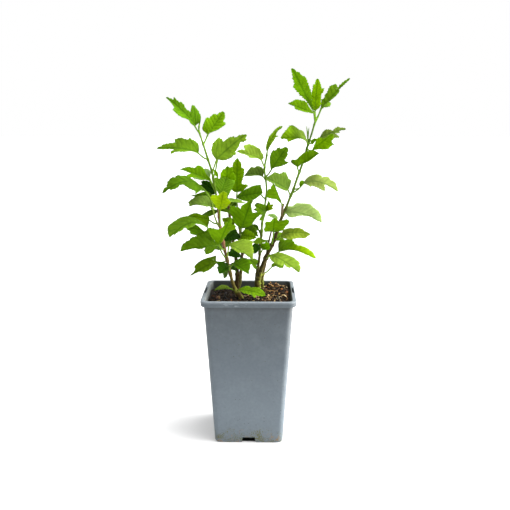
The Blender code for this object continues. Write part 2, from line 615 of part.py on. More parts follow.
def strip(outer, rib, station, i):
    """The triangles between edge points i and i+1 and the rib stations they are joined to."""
    here, there = station[i], station[i + 1]
    faces = []
    if outer[i + 1] is not rib[there] and outer[i] is not rib[here]:
        faces.append((rib[here], outer[i], outer[i + 1]))
        if here != there:
            faces.append((rib[here], outer[i + 1], rib[there]))
    elif outer[i] is rib[here]:
        if here != there:
            faces.append((outer[i], outer[i + 1], rib[there]))
    else:
        faces.append((rib[here], outer[i], outer[i + 1]))
    return faces


def make_stalk(blade, joint, name):
    """The leaf stalk, from the cane's middle to a little way up under the rib."""
    under = blade.normal * STALK_UNDER
    base = blade.base - under
    end = blade.rib(STALK_RUNS_TO) - under
    middle = (joint + base) / 2
    middle.z -= STALK_SAG * math.hypot(base.x - joint.x, base.y - joint.y)
    points = [joint, middle, base, end]
    radii = [STALK_RADIUS * 1.25, STALK_RADIUS, STALK_RADIUS, STALK_RADIUS * 0.7]
    return tube(name, points, radii, roundness=0)


def stem_pieces(stem_name):
    """Every cane, stalk and blade of one stem, before they are joined."""
    stem = STEMS[stem_name]
    pieces = []
    for cane_name, cane in stem["canes"].items():
        points, radii = cane_route(cane, stem["foot"])
        pieces.append(tube(f"{stem_name}_{cane_name}", points, radii))
    for index, spec in enumerate(stem["leaves"]):
        blade = Blade(spec, f"{stem_name} {index}")
        joint = along_cane(stem["canes"][spec.cane], spec.node)
        pieces.append(make_stalk(blade, joint, f"{stem_name}_stalk_{index}"))
        pieces.append(make_blade(blade, f"{stem_name}_blade_{index}"))
    return pieces


def make_stem(stem_name):
    pieces = stem_pieces(stem_name)
    stem = fuse(pieces[0], pieces[1:], stem_name)
    stem.data.materials.clear()
    stem.data.materials.append(material("plant"))
    shade(stem)
    return stem


def main():
    start_scene()
    make_pot()
    make_soil()
    for stem_name in STEMS:
        make_stem(stem_name)


if __name__ == "__main__":
    main()
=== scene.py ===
import functools
import math
import random

import bmesh
import bpy
import numpy as np
from mathutils import Euler, Matrix, Vector


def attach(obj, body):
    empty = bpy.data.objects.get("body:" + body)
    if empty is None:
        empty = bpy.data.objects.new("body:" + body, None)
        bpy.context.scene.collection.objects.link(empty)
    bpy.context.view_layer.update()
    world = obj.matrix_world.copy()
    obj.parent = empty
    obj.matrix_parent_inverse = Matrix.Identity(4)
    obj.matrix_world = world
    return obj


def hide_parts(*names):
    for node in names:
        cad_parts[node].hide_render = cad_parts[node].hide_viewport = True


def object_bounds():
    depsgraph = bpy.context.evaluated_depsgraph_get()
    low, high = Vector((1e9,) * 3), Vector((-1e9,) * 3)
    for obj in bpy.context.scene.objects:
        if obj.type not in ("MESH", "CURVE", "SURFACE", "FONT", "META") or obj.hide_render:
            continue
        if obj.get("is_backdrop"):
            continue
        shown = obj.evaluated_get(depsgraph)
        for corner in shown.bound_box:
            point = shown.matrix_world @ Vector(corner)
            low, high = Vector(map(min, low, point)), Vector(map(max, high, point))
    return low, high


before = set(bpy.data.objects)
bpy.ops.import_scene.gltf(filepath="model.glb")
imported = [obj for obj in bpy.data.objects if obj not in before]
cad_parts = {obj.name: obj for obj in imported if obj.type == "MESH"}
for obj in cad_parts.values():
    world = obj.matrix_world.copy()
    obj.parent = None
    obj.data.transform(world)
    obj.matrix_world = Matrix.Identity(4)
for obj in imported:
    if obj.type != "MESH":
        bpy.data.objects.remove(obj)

# Sizes are in millimetres and become metres where a mesh is made. Z is up, -Y is the front.
mm = 0.001
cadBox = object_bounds()


# Meshes

def gridQuads(rows, columns, closedAcross=False):
    # Point numbers of the faces of a grid: each joins a point to the next in its row and column.
    across = columns if closedAcross else columns - 1
    row, column = np.meshgrid(np.arange(rows - 1), np.arange(across), indexing="ij")
    beside = (column + 1) % columns
    corners = (row * columns + column, row * columns + beside,
               (row + 1) * columns + beside, (row + 1) * columns + column)
    return np.stack(corners, axis=-1).reshape(-1, 4)


def smoothNoise(x, y, cell, seed):
    # Random heights from -1 to 1 on a square lattice, blended smoothly between its points.
    table = np.random.default_rng(seed).uniform(-1, 1, (64, 64))
    gx, gy = np.asarray(x) / cell, np.asarray(y) / cell
    ix, iy = np.floor(gx).astype(int), np.floor(gy).astype(int)
    fx, fy = gx - ix, gy - iy
    fx, fy = fx * fx * (3 - 2 * fx), fy * fy * (3 - 2 * fy)
    low = table[ix % 64, iy % 64] * (1 - fx) + table[(ix + 1) % 64, iy % 64] * fx
    high = table[ix % 64, (iy + 1) % 64] * (1 - fx) + table[(ix + 1) % 64, (iy + 1) % 64] * fx
    return low * (1 - fy) + high * fy


def unit(vectors):
    return vectors / np.linalg.norm(vectors, axis=-1, keepdims=True)


class Patchwork:
    # Collects grids of points in mm, with a colour, a flat place and a finish for each.

    def __init__(self):
        self.points, self.quads, self.tints, self.places, self.finishes, self.count = [], [], [], [], [], 0

    def add(self, points, quads, tint, place=None, finish=0):
        flat = points.reshape(-1, 3)
        size = len(flat)
        self.points.append(flat)
        self.quads.append(quads + self.count)
        self.tints.append(np.broadcast_to(tint, points.shape).reshape(-1, 3))
        self.places.append(np.zeros((size, 2)) if place is None else place.reshape(-1, 2))
        self.finishes.append(np.full(len(quads), finish))
        self.count += size

    def piece(self, name, materials):
        points = np.concatenate(self.points) * mm
        quads = np.concatenate(self.quads)
        mesh = bpy.data.meshes.new(name)
        mesh.vertices.add(len(points))
        mesh.vertices.foreach_set("co", points.astype(np.float32).ravel())
        mesh.loops.add(quads.size)
        mesh.loops.foreach_set("vertex_index", quads.astype(np.int32).ravel())
        mesh.polygons.add(len(quads))
        mesh.polygons.foreach_set("loop_start", np.arange(0, quads.size, 4, dtype=np.int32))
        mesh.polygons.foreach_set("material_index", np.concatenate(self.finishes).astype(np.int32))
        mesh.update(calc_edges=True)
        tint = mesh.attributes.new("tint", "FLOAT_COLOR", "POINT")
        colours = np.concatenate([np.concatenate(self.tints), np.ones((len(points), 1))], axis=1)
        tint.data.foreach_set("color", colours.astype(np.float32).ravel())
        flatMap = mesh.uv_layers.new(name="flatMap")
        flatMap.data.foreach_set("uv", np.concatenate(self.places)[quads.ravel()].astype(np.float32).ravel())
        mesh.shade_smooth()
        for material in materials:
            mesh.materials.append(material)
        made = bpy.data.objects.new(name, mesh)
        bpy.context.scene.collection.objects.link(made)
        return made


def appliedMesh(piece):
    # Makes the piece's modifiers part of its mesh.
    bpy.context.view_layer.update()
    graph = bpy.context.evaluated_depsgraph_get()
    mesh = bpy.data.meshes.new_from_object(piece.evaluated_get(graph), preserve_all_data_layers=True,
                                           depsgraph=graph)
    piece.modifiers.clear()
    piece.data = mesh


def standFor(piece, node, slot):
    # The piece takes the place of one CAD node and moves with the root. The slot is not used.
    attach(piece, "root")
    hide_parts(node)


# Colours and materials

def linear(hexColour):
    # An sRGB hex colour as the linear red, green and blue that the shaders use.
    values = [int(hexColour[i:i + 2], 16) / 255 for i in (1, 3, 5)]
    return np.array([v / 12.92 if v <= 0.04045 else ((v + 0.055) / 1.055) ** 2.4 for v in values])


def colour(hexColour):
    return (*linear(hexColour), 1.0)


def fill(node, inputs):
    # Gives inputs, by name or in order, a value each or another node's output.
    for name, value in inputs.items() if isinstance(inputs, dict) else enumerate(inputs):
        if isinstance(value, bpy.types.NodeSocket):
            node.id_data.links.new(value, node.inputs[name])
        else:
            node.inputs[name].default_value = value


def addNode(tree, kind, inputs=(), output=0, stops=(), **properties):
    # Adds one node with its properties, its inputs and, for a colour ramp, its stops, each a
    # place with a grey or a colour. Gives back one of its outputs.
    node = tree.nodes.new("ShaderNode" + kind)
    for name, value in properties.items():
        setattr(node, name, value)
    fill(node, inputs)
    if stops:
        elements = node.color_ramp.elements
        while len(elements) < len(stops):
            elements.new(0.5)
        for element, (place, value) in zip(elements, stops):
            element.position = place
            element.color = value if isinstance(value, tuple) else (value, value, value, 1)
    return node.outputs[output]


def newMaterial(name, settings):
    # A material, its shader, and addNode for its own tree.
    material = bpy.data.materials.new(name)
    material.use_nodes = True
    shader = material.node_tree.nodes["Principled BSDF"]
    fill(shader, settings)
    return material, shader, functools.partial(addNode, material.node_tree)


# Camera, floor and light

view = {
    "eye": (28.3, -1062.3, 513.3),  # worked out from the rim and the foot of the pot
    "turnedLeft": 1.02,
    "lookingDown": 11.08,
    "lens": 46.36, "sensor": 36,
}


def setCamera():
    camera = bpy.data.objects.new("camera", bpy.data.cameras.new("camera"))
    camera.data.sensor_width = view["sensor"]
    camera.data.lens = view["lens"]
    camera.location = [v * mm for v in view["eye"]]
    tilt, turn = 90 - view["lookingDown"], view["turnedLeft"]
    camera.rotation_euler = Euler((math.radians(tilt), 0, math.radians(turn)))
    camera.data.clip_start = 0.01
    bpy.context.scene.collection.objects.link(camera)
    bpy.context.scene.camera = camera


studio = {
    "floorColour": "#d2d2d2", "floorGlow": 0.2, "floorSize": 60,
    "sky": 1.0, "skyStops": [(0.0, 0.35), (0.12, 0.55), (0.30, 1.0)],
    "suns": [  # where the light comes from, how wide it looks in degrees, and its strength
        ("keyLight", (0.30, 0.0, 0.95), 40, 4.2),
        ("rightLight", (0.88, -0.02, 0.46), 50, 2.75),
    ],
    # A soft box low on the right: its place and aim in mm, its width in mm, spread and power.
    "softBox": ((640, -10, 110), (60, 0, 105), 260, 42, 0.95), "softBoxTint": (1.0, 0.95, 0.88),
}


def addLamp(name, kind, place, towards, settings):
    # A lamp at place, in metres, that shines along the line towards, turned about.
    lamp = bpy.data.lights.new(name, kind)
    for setting, value in settings.items():
        setattr(lamp, setting, value)
    holder = bpy.data.objects.new(name, lamp)
    holder.location = place
    x, y, z = unit(np.array(towards, float))
    holder.rotation_euler = (math.acos(z), 0, math.atan2(y, x) + math.pi / 2)
    bpy.context.scene.collection.objects.link(holder)


def setStudio():
    bpy.ops.mesh.primitive_plane_add(size=studio["floorSize"], location=(0, 0, 0))
    floor = bpy.context.object
    floor.name = "floor"
    paper = newMaterial("whitePaperFloor", {
        "Roughness": 0.9, "Specular IOR Level": 0.0, "Base Color": colour(studio["floorColour"]),
        "Emission Color": (1, 1, 1, 1), "Emission Strength": studio["floorGlow"]})[0]
    floor.data.materials.append(paper)
    floor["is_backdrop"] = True
    world = bpy.data.worlds.new("studioWalls")
    world.use_nodes = True
    add = functools.partial(addNode, world.node_tree)
    # White all round, and greyer towards the left, where the studio has no lamp.
    sideways = add("SeparateXYZ", [add("TexCoord", output="Generated")], "X")
    leftToRight = add("Math", (sideways, 0.5, 0.5), operation="MULTIPLY_ADD")
    grey = add("ValToRGB", [leftToRight], stops=studio["skyStops"])
    # The backdrop itself looks white from every side.
    backdrop = add("LightPath", output="Is Camera Ray")
    grey = add("MixRGB", (backdrop, grey, (1, 1, 1, 1)))
    fill(world.node_tree.nodes["Background"], {"Color": grey, "Strength": studio["sky"]})
    bpy.context.scene.world = world
    for name, source, wide, strength in studio["suns"]:
        settings = {"angle": math.radians(wide), "energy": strength}
        addLamp(name, "SUN", unit(np.array(source)), source, settings)
    place, aim, wide, spread, power = studio["softBox"]
    addLamp("softBox", "AREA", [v * mm for v in place], np.array(place, float) - aim, {
        "size": wide * mm, "spread": math.radians(spread), "energy": power, "color": studio["softBoxTint"]})
    bpy.context.scene.view_settings.view_transform = "Standard"
    bpy.context.scene.view_settings.look = "None"


setCamera()
setStudio()
print("camera, floor and light are set")


# The pot: a tall square nursery pot of injection moulded polypropylene

pot = {
    "rimHalf": 75.8, "height": 245.0, "lipDeep": 9.2, "lipWall": 1.8,
    "topHalf": 70.9, "footHalf": 56.1, "wall": 1.5,
    "floorUnder": 8.5, "floorThick": 2.0, "footWide": 3.0, "centreFoot": 15.0,
    "ribHalf": 50.6, "ribThick": 1.4, "ribFoot": 0.1,
    "notch": (20.0, 25.0, 9.3), "notchDeep": 10.6, "slot": (38.0, 3.2), "slotBack": 2.0, "webThick": 1.4,
    "drainRadius": 6.0, "drainOut": 30.0, "drainFromTo": (5.0, 14.0),
    "cornerSteps": 14, "sideSteps": 10, "sideSink": 0.35,
    # Up the outside the colours carry painted light and shade: lighter low down as light bounced off the
    # floor, darker near the top and darkest just under the lip as its shadow, and a painted highlight on the
    # lip's top edge and the rim.
    "colour": "#4c565e", "shadedHighColour": "#3d454b", "underLipShadow": "#2f363b", "lipColour": "#444d53",
    "edgeHighlight": "#6c747a", "lowBounceLight": "#5a656d", "dust": "#747d83", "scuff": "#828b91",
    # Inside it is darker than outside, partly a film of soil and partly painted shade. It is painted black
    # under the floor as shade, and the upper left wall inside has a painted highlight.
    "inside": "#3d4240", "damp": "#060706", "leftWallHighlight": "#a4a8a6",
    "algae": "#4c4d20", "peatStain": "#7a5c28", "speck": "#333626",
}


def bodyHalf(z):
    # Half the outside width of the pot at height z, on the straight line from foot to rim.
    return pot["footHalf"] + (pot["topHalf"] - pot["footHalf"]) * z / (pot["height"] - 3.5)


def squareRing(half, corner, z, sink=0.0):
    # Points round a square with round corners, anticlockwise from above. The sides bow in by sink.
    steps, sides = pot["cornerSteps"], pot["sideSteps"]
    angle = np.linspace(0, math.pi / 2, steps + 1)
    arc = np.stack([half - corner + corner * np.cos(angle), half - corner + corner * np.sin(angle)], axis=1)
    share = np.linspace(0, 1, sides + 1)[1:-1, None]
    start, end = np.array([half - corner, half]), np.array([-(half - corner), half])
    side = start + (end - start) * share
    side[:, 1:] -= sink * np.sin(math.pi * share) ** 0.7
    quarter = np.concatenate([arc, side])
    turns = [(1, 0, 0, 1), (0, -1, 1, 0), (-1, 0, 0, -1), (0, 1, -1, 0)]
    flat = np.concatenate([quarter @ np.array(t, float).reshape(2, 2).T for t in turns])
    return np.concatenate([flat, np.full((len(flat), 1), z)], axis=1)


def potSections():
    # (half, corner, z, sink, finish) from the middle of the floor inside, over the rim, down the
    # outside and under the foot to the middle again. finish is 1 on the inside.
    top, floor = pot["height"], pot["floorUnder"] + pot["floorThick"]
    rim, lip = pot["rimHalf"], pot["height"] - pot["lipDeep"]
    body, wall, skin = pot["topHalf"], pot["wall"], pot["lipWall"]
    inside = [(bodyHalf(z) - wall, 8 + 1.2 * z / top, z, pot["sideSink"] * 0.6, 1)
              for z in np.linspace(floor + 1.5, top - 1.8, 12)]
    ridges = []
    for z in np.linspace(top - 1.8, lip + 0.7, 22):
        ridge = 0.28 * (math.exp(-((z - top + 3.2) / 0.45) ** 2) + math.exp(-((z - top + 6.3) / 0.45) ** 2))
        ridges.append((rim - 0.15 - 0.045 * (top - z) + ridge, 13.0, z, 0.1, 0))
    outside = [(bodyHalf(z), 10.0 - 0.9 * (1 - z / top), z, pot["sideSink"], 0)
               for z in np.linspace(top - 4.0, 3.4, 16)]
    foot, rib, under, centre = pot["footHalf"], pot["ribHalf"], pot["floorUnder"], pot["centreFoot"]
    return [
        (0.4, 0.4, floor, 0, 1), (30, 12, floor, 0, 1), (bodyHalf(floor) - wall - 1.2, 7.5, floor, 0, 1),
        (bodyHalf(floor) - wall - 0.3, 7.8, floor + 0.4, 0, 1), *inside,
        (body - wall + 0.15, 9.3, top - 0.9, 0, 1), (body - wall + 0.5, 9.5, top - 0.25, 0, 0),
        (body - wall + 1.1, 9.9, top, 0, 0), (rim - 3.2, 11.2, top + 0.0, 0, 0),
        (rim - 1.1, 12.2, top - 0.05, 0, 0), (rim - 0.45, 12.7, top - 0.4, 0, 0),
        (rim - 0.15, 12.9, top - 1.0, 0, 0), *ridges,
        (rim - 0.75, 12.8, lip + 0.15, 0, 0), (rim - 1.1, 12.4, lip, 0, 0),
        (rim - 0.6 - skin, 11.3, lip, 0, 0), (rim - 0.45 - skin, 11.4, lip + 1, 0, 0),
        (rim - skin, 11.6, top - 2.6, 0, 0), (rim - skin - 0.6, 11.2, top - 2.2, 0, 0),
        (body + 0.5, 10.3, top - 2.2, 0, 0), (body + 0.05, 10.1, top - 2.9, 0, 0), *outside,
        (foot - 0.1, 9.0, 2.2, 0.1, 0), (foot - 0.6, 8.6, 1.0, 0, 0), (foot - 1.2, 8.3, 0.3, 0, 0),
        (foot - 1.9, 8.0, 0.0, 0, 0), (foot - 1.8 - pot["footWide"], 6.6, 0.0, 0, 1),
        (bodyHalf(under) - pot["footWide"], 6.8, under, 0, 1),
        # a low rib round the floor's underside, then the flat foot in its middle, both in the black painted
        # shade under the floor
        (rib, 6, under, 0, 1), (rib, 6, pot["ribFoot"], 0, 1),
        (rib - pot["ribThick"], 5.6, pot["ribFoot"], 0, 1), (rib - pot["ribThick"], 5.6, under, 0, 1),
        (24, 16, under, 0, 1), (centre + 0.2, 15.2, under, 0, 1),
        (centre, 15.0, 0.5, 0, 1), (centre - 0.5, 14.5, 0, 0, 1), (0.4, 0.4, 0, 0, 1),
    ]


def cutterPiece(name, points, faces):
    # A plain solid that is cut out of the pot and then removed.
    mesh = bpy.data.meshes.new(name)
    mesh.from_pydata((np.asarray(points, float) * mm).tolist(), [], faces)
    cutter = bpy.data.objects.new(name, mesh)
    bpy.context.scene.collection.objects.link(cutter)
    return cutter


def boxCutter(name, centre, size, turn=0.0, topShare=1.0):
    # A box whose top is narrower than its foot by topShare, turned about the pot's middle.
    x, y, z = (s / 2 for s in size)
    low = np.array([(-x, -y, -z), (x, -y, -z), (x, y, -z), (-x, y, -z)])
    points = np.concatenate([low, low * (topShare, 1, -1)]) + centre
    cosine, sine = math.cos(turn), math.sin(turn)
    points = points @ np.array([(cosine, sine, 0), (-sine, cosine, 0), (0, 0, 1)])
    faces = [(3, 2, 1, 0), (4, 5, 6, 7), (0, 1, 5, 4), (1, 2, 6, 5), (2, 3, 7, 6), (3, 0, 4, 7)]
    return cutterPiece(name, points, faces)


def drainCutter(name, x, y, sides=32):
    # An upright cylinder that goes through the raised floor.
    angle = np.arange(sides) / sides * 2 * math.pi
    ring = np.stack([x + pot["drainRadius"] * np.cos(angle), y + pot["drainRadius"] * np.sin(angle)], axis=1)
    points = np.concatenate([np.c_[ring, np.full(sides, z)] for z in pot["drainFromTo"]])
    faces = [tuple(reversed(range(sides))), tuple(range(sides, 2 * sides))]
    faces += [(i, (i + 1) % sides, sides + (i + 1) % sides, sides + i) for i in range(sides)]
    return cutterPiece(name, points, faces)


def makePot():
    # Rounded squares carried along the wall's profile, then slots, notches and drains cut out.
    sections = potSections()
    rings = np.stack([squareRing(*section[:4]) for section in sections])
    patch = Patchwork()
    quads = gridQuads(len(sections), rings.shape[1], closedAcross=True)
    patch.add(rings, quads[:, ::-1], (1, 1, 1))
    piece = patch.piece("nurseryPot", [pottedPlastic(False), pottedPlastic(True)])
    finish = np.repeat([section[4] for section in sections[1:]], rings.shape[1])
    piece.data.polygons.foreach_set("material_index", finish.astype(np.int32))
    closeEnds(piece)

    wide, footWide, high = pot["notch"]
    cutters = [boxCutter(f"notchCutter{i}", (0, -pot["footHalf"], 0),
                         (footWide + 1, pot["notchDeep"], 2 * high), i * math.pi / 2, wide / (footWide + 1))
               for i in range(4)]
    slotLong, slotWide = pot["slot"]
    slotAt = pot["topHalf"] + slotWide / 2
    cutters += [boxCutter(f"slotCutter{side}", (side * slotAt, pot["slotBack"], pot["height"]),
                          (slotWide, slotLong, 12)) for side in (-1, 1)]
    cutters += [drainCutter(f"drainCutter{x}{y}", x * pot["drainOut"], y * pot["drainOut"])
                for x in (-1, 1) for y in (-1, 1)]
    for cutter in cutters:
        cut = piece.modifiers.new("cut", "BOOLEAN")
        cut.operation = "DIFFERENCE"
        cut.solver = "EXACT"
        cut.object = cutter
    appliedMesh(piece)
    for cutter in cutters:
        bpy.data.objects.remove(cutter)
    addWebs(piece)
    piece.data.shade_smooth()
    piece.data.set_sharp_from_angle(angle=math.radians(40))
    standFor(piece, "pot", "pot")


def addWebs(piece):
    # Thin upright webs close the hollow of the rim before and behind each slot.
    (slotLong, slotWide), skin = pot["slot"], pot["webThick"]
    low, high = pot["height"] - pot["lipDeep"] + 0.1, pot["height"] - 1.8
    work = bmesh.new()
    work.from_mesh(piece.data)
    for side in (-1, 1):
        for end in (-1, 1):
            y = pot["slotBack"] + end * ((slotLong + skin) / 2 + 0.1)
            middle = np.array([side * (pot["topHalf"] + slotWide / 2), y, (low + high) / 2])
            made = bmesh.ops.create_cube(work, size=1, matrix=Matrix.LocRotScale(
                Vector(middle * mm), None, Vector([(slotWide + 0.6) * mm, skin * mm, (high - low) * mm])))
            for face in {face for corner in made["verts"] for face in corner.link_faces}:
                face.material_index = 1
    work.to_mesh(piece.data)
    work.free()


def closeEnds(piece):
    # Closes the small rings that a lofted surface leaves at its two ends.
    work = bmesh.new()
    work.from_mesh(piece.data)
    bmesh.ops.remove_doubles(work, verts=work.verts, dist=0.001 * mm)
    bmesh.ops.holes_fill(work, edges=[e for e in work.edges if e.is_boundary], sides=0)
    bmesh.ops.recalc_face_normals(work, faces=work.faces)
    work.to_mesh(piece.data)
    work.free()


def pottedPlastic(inside):
    # Polypropylene, injection moulded and weathered: matt, painted lighter low down and darker under the lip
    # as painted light and shade, faintly clouded, with fine dark specks, and splashes of algae and soil at
    # the foot.
    name = "mouldedPolypropyleneInside" if inside else "mouldedPolypropylene"
    material, shader, add = newMaterial(name, {"IOR": 1.49})
    place = add("TexCoord", output="Object")
    sideways, upwards = (add("SeparateXYZ", [place], axis) for axis in "XZ")
    height = add("Math", (upwards, pot["height"] * mm), operation="DIVIDE", use_clamp=True)
    if inside:
        # The upper part of the left wall is painted pale: a painted highlight where the light from the right
        # falls on it.
        left = add("ValToRGB", [add("Math", (sideways, -1 / 0.08), operation="MULTIPLY")],
                   stops=[(0.80, 0.0), (0.845, 0.9)])
        upper = add("ValToRGB", [height], stops=[(0.93, 0.0), (0.985, 1.0)])
        film = add("Math", (left, upper), operation="MULTIPLY")
        base = add("MixRGB", (film, colour(pot["inside"]), colour(pot["leftWallHighlight"])))
    else:
        # Painted light and shade by height: lighter low down, darker near the top, a painted shadow just
        # under the lip, and a painted highlight along the lip's top edge and the rim's top.
        base = add("ValToRGB", [height], stops=[(at, colour(pot[name])) for at, name in (
            (0.0, "lowBounceLight"), (0.22, "lowBounceLight"), (0.55, "colour"), (0.93, "shadedHighColour"),
            (0.955, "underLipShadow"), (0.966, "lipColour"), (0.985, "lipColour"), (0.997, "edgeHighlight"))])
    # Clouds of dust about 25 mm across, and a finer mottle of 4 mm.
    clouds = add("TexNoise", {"Vector": place, "Scale": 1 / 0.025, "Detail": 4.0, "Roughness": 0.6})
    mottle = add("TexNoise", {"Vector": place, "Scale": 1 / 0.004, "Detail": 3.0})
    dusty = add("ValToRGB", [clouds], stops=[(0.45, 0.0), (0.75, 0.16)])
    base = add("MixRGB", (dusty, base, colour(pot["dust"])))
    uneven = add("ValToRGB", [mottle], stops=[(0.3, 0.93), (0.7, 1.06)])
    base = add("MixRGB", (1.0, base, uneven), blend_type="MULTIPLY")
    if inside:
        # Under the pot's floor it is painted black as shade, and has no sheen.
        under = add("ValToRGB", [height], stops=[(0.036, 1.0), (0.040, 0.0)])
        base = add("MixRGB", (under, base, colour(pot["damp"])))
        fill(shader, {"Specular IOR Level": add("ValToRGB", [height], stops=[(0.036, 0.0), (0.040, 0.5)])})
    else:
        base = potMarks(add, base, place, sideways, height)
    # Moulded grain about 0.8 mm, drawn a little coarser than it is so that it shows.
    grain = add("TexNoise", {"Vector": place, "Scale": 1 / 0.0016, "Detail": 3.0})
    fill(shader, {
        "Base Color": base,
        "Roughness": add("ValToRGB", [clouds], stops=[(0.3, 0.42), (0.8, 0.62)]),
        "Normal": add("Bump", {"Strength": 0.16, "Distance": 0.0004, "Height": grain})})
    return material


def potMarks(add, base, place, sideways, height):
    # What the years have left on the outside.
    # Specks up to 2 mm wide, from cells of 7 mm, more of them lower down.
    cells = {"Vector": place, "Scale": 1 / 0.007, "Randomness": 1.0}
    distance, cellColour = (add("TexVoronoi", cells, output) for output in ("Distance", "Color"))
    speck = add("ValToRGB", [distance], stops=[(0.07, 0.8), (0.13, 0.0)])
    rarer = add("Math", (height, 0.35), operation="MULTIPLY")
    chance = add("Math", (add("SeparateColor", [cellColour]), rarer), operation="SUBTRACT")
    chosen = add("ValToRGB", [chance], stops=[(0.30, 0.0), (0.34, 1.0)])
    base = add("MixRGB", (add("Math", (speck, chosen), operation="MULTIPLY"), base, colour(pot["speck"])))
    # Scuffs along the lip, left of its middle at the front: short, whitish and level.
    level = add("Mapping", {"Vector": place, "Scale": (1, 1, 3.5)})
    scratches = add("TexNoise", {"Vector": level, "Scale": 1 / 0.009, "Detail": 3.0, "Roughness": 0.6})
    leftToRight = add("Math", (add("Math", (sideways, 0.15), operation="DIVIDE"), 0.5), operation="ADD")
    onLip = add("ValToRGB", [height], stops=[(0.966, 0.0), (0.972, 1.0)])
    here = add("ValToRGB", [leftToRight], stops=[(0.18, 0.0), (0.23, 1.0), (0.46, 1.0), (0.52, 0.0)])
    worn = add("ValToRGB", [scratches], stops=[(0.52, 0.0), (0.66, 0.45)])
    for limit in (onLip, here):
        worn = add("Math", (worn, limit), operation="MULTIPLY")
    base = add("MixRGB", (worn, base, colour(pot["scuff"])))
    # Algae and peat, only in the lowest 30 mm, in flecks that gather into patches.
    low = add("ValToRGB", [height], stops=[(0.0, 1.0), (0.03, 0.8), (0.13, 0.0)])
    patches, flecks, fine = (add("TexNoise", {"Vector": place, "Scale": 1 / wide, "Detail": 2.0})
                             for wide in (0.010, 0.0024, 0.0016))
    dirt = add("Math", (patches, 0.4), operation="MULTIPLY")
    for more, share in ((fine, 0.6), (low, 0.09)):
        dirt = add("Math", (more, share, dirt), operation="MULTIPLY_ADD")
    dirty = add("ValToRGB", [dirt], stops=[(0.60, 0.0), (0.635, 1.0)])
    faded = add("ValToRGB", [low], stops=[(0.0, 0.0), (0.35, 0.9)])
    base = add("MixRGB", (add("Math", (dirty, faded), operation="MULTIPLY"), base, colour(pot["algae"])))
    stain = add("Math", (flecks, patches), operation="SUBTRACT")
    stain = add("Math", (low, 0.20, stain), operation="MULTIPLY_ADD")
    stained = add("ValToRGB", [stain], stops=[(0.33, 0.0), (0.38, 0.85)])
    return add("MixRGB", (add("Math", (stained, low), operation="MULTIPLY"), base, colour(pot["peatStain"])))


makePot()
print("pot is made")


# Growing medium: peat compost with shredded bark, heaped at the back right

compost = {
    "level": 231.0, "heapAt": (42.0, 44.0), "heapWide": (30.0, 26.0), "heapHigh": 10.0,
    "fit": 0.3, "rows": 150, "lumps": ((0.9, 5.0), (0.7, 2.2), (0.4, 1.0)),  # how high, and how wide
    "gatherAt": (38.0, 22.0), "gatherWide": (17, 26), "gatheredCrumbs": 0.15, "gatheredShreds": 0.66,
    "crumbs": 1400, "crumbSize": (0.7, 2.4), "crumbRings": 5, "crumbSides": 7,
    "shreds": 420, "shredLong": (3.0, 8.5), "shredWide": (0.7, 2.2), "shredThick": (0.3, 0.9),
    "shredSteps": 8, "shredCurl": 0.8, "shredTilt": 0.34, "shredBend": 0.7, "shredsLoose": 3.2,
    "brightShare": 0.42, "bright": (0.9, 1.7), "dull": (0.05, 0.32),
    "darkest": "#0b0704", "dark": "#1d130a", "brown": "#3f2a17",
    "barkColours": ("#8a6032", "#b08650", "#cda972", "#5e3d1e", "#a3672f", "#3e2813", "#774720", "#dcc596"),
}


def soilHeight(x, y):
    # A crumbly level, and a heap that falls away as a bell curve.
    heap = ((x - compost["heapAt"][0]) / compost["heapWide"][0]) ** 2 \
        + ((y - compost["heapAt"][1]) / compost["heapWide"][1]) ** 2
    crumbs = np.sin(x * 0.31 + 1) * np.sin(y * 0.27) + 0.6 * np.sin(x * 0.71) * np.sin(y * 0.63 + 2)
    return compost["level"] + compost["heapHigh"] * np.exp(-heap) + 0.9 * crumbs


def fineSoilHeight(x, y):
    # The same with three sizes of lumps on it.
    return soilHeight(x, y) + sum(high * smoothNoise(x, y, wide, seed)
                                  for seed, (high, wide) in enumerate(compost["lumps"], 1))


def makeCompost():
    # Rounded squares that shrink to the middle carry the lumpy top, and one goes down to the floor.
    patch = Patchwork()
    foot = pot["floorUnder"] + pot["floorThick"] + compost["fit"]
    footHalf = bodyHalf(foot) - pot["wall"] - compost["fit"]
    brimHalf = bodyHalf(compost["level"]) - pot["wall"] - 2 * compost["fit"]
    shares = np.linspace(1, 0.004, compost["rows"])
    rings = [squareRing(footHalf * 0.004, 0.02, foot), squareRing(footHalf, 7.7, foot)]
    for share in shares:
        ring = squareRing(brimHalf * share, 8.5 * share, 0)
        ring[:, 2] = fineSoilHeight(ring[:, 0], ring[:, 1]) - 0.6
        rings.append(ring)
    rings = np.stack(rings)
    damp = 0.5 + 0.5 * smoothNoise(rings[..., 0], rings[..., 1], 9.0, 5)
    tint = linear(compost["darkest"]) * (1 - damp[..., None]) + linear(compost["dark"]) * damp[..., None]
    patch.add(rings, gridQuads(len(rings), rings.shape[1], closedAcross=True), tint)
    addCrumbs(patch, brimHalf)
    addShreds(patch, brimHalf)
    piece = patch.piece("barkCompost", [compostFinish(), barkFinish()])
    closeEnds(piece)
    standFor(piece, "growing_medium", "growing_medium")


def onSoil(generator, count, reach, gatheredShare):
    # Random places on the soil, with that share of them gathered about one place by a bell curve.
    places = [generator.uniform(-reach, reach, count) for axis in range(2)]
    gathered = generator.random(count) < gatheredShare
    return [np.where(gathered, np.clip(generator.normal(middle, wide, count), -reach, reach), place)
            for middle, wide, place in zip(compost["gatherAt"], compost["gatherWide"], places)]


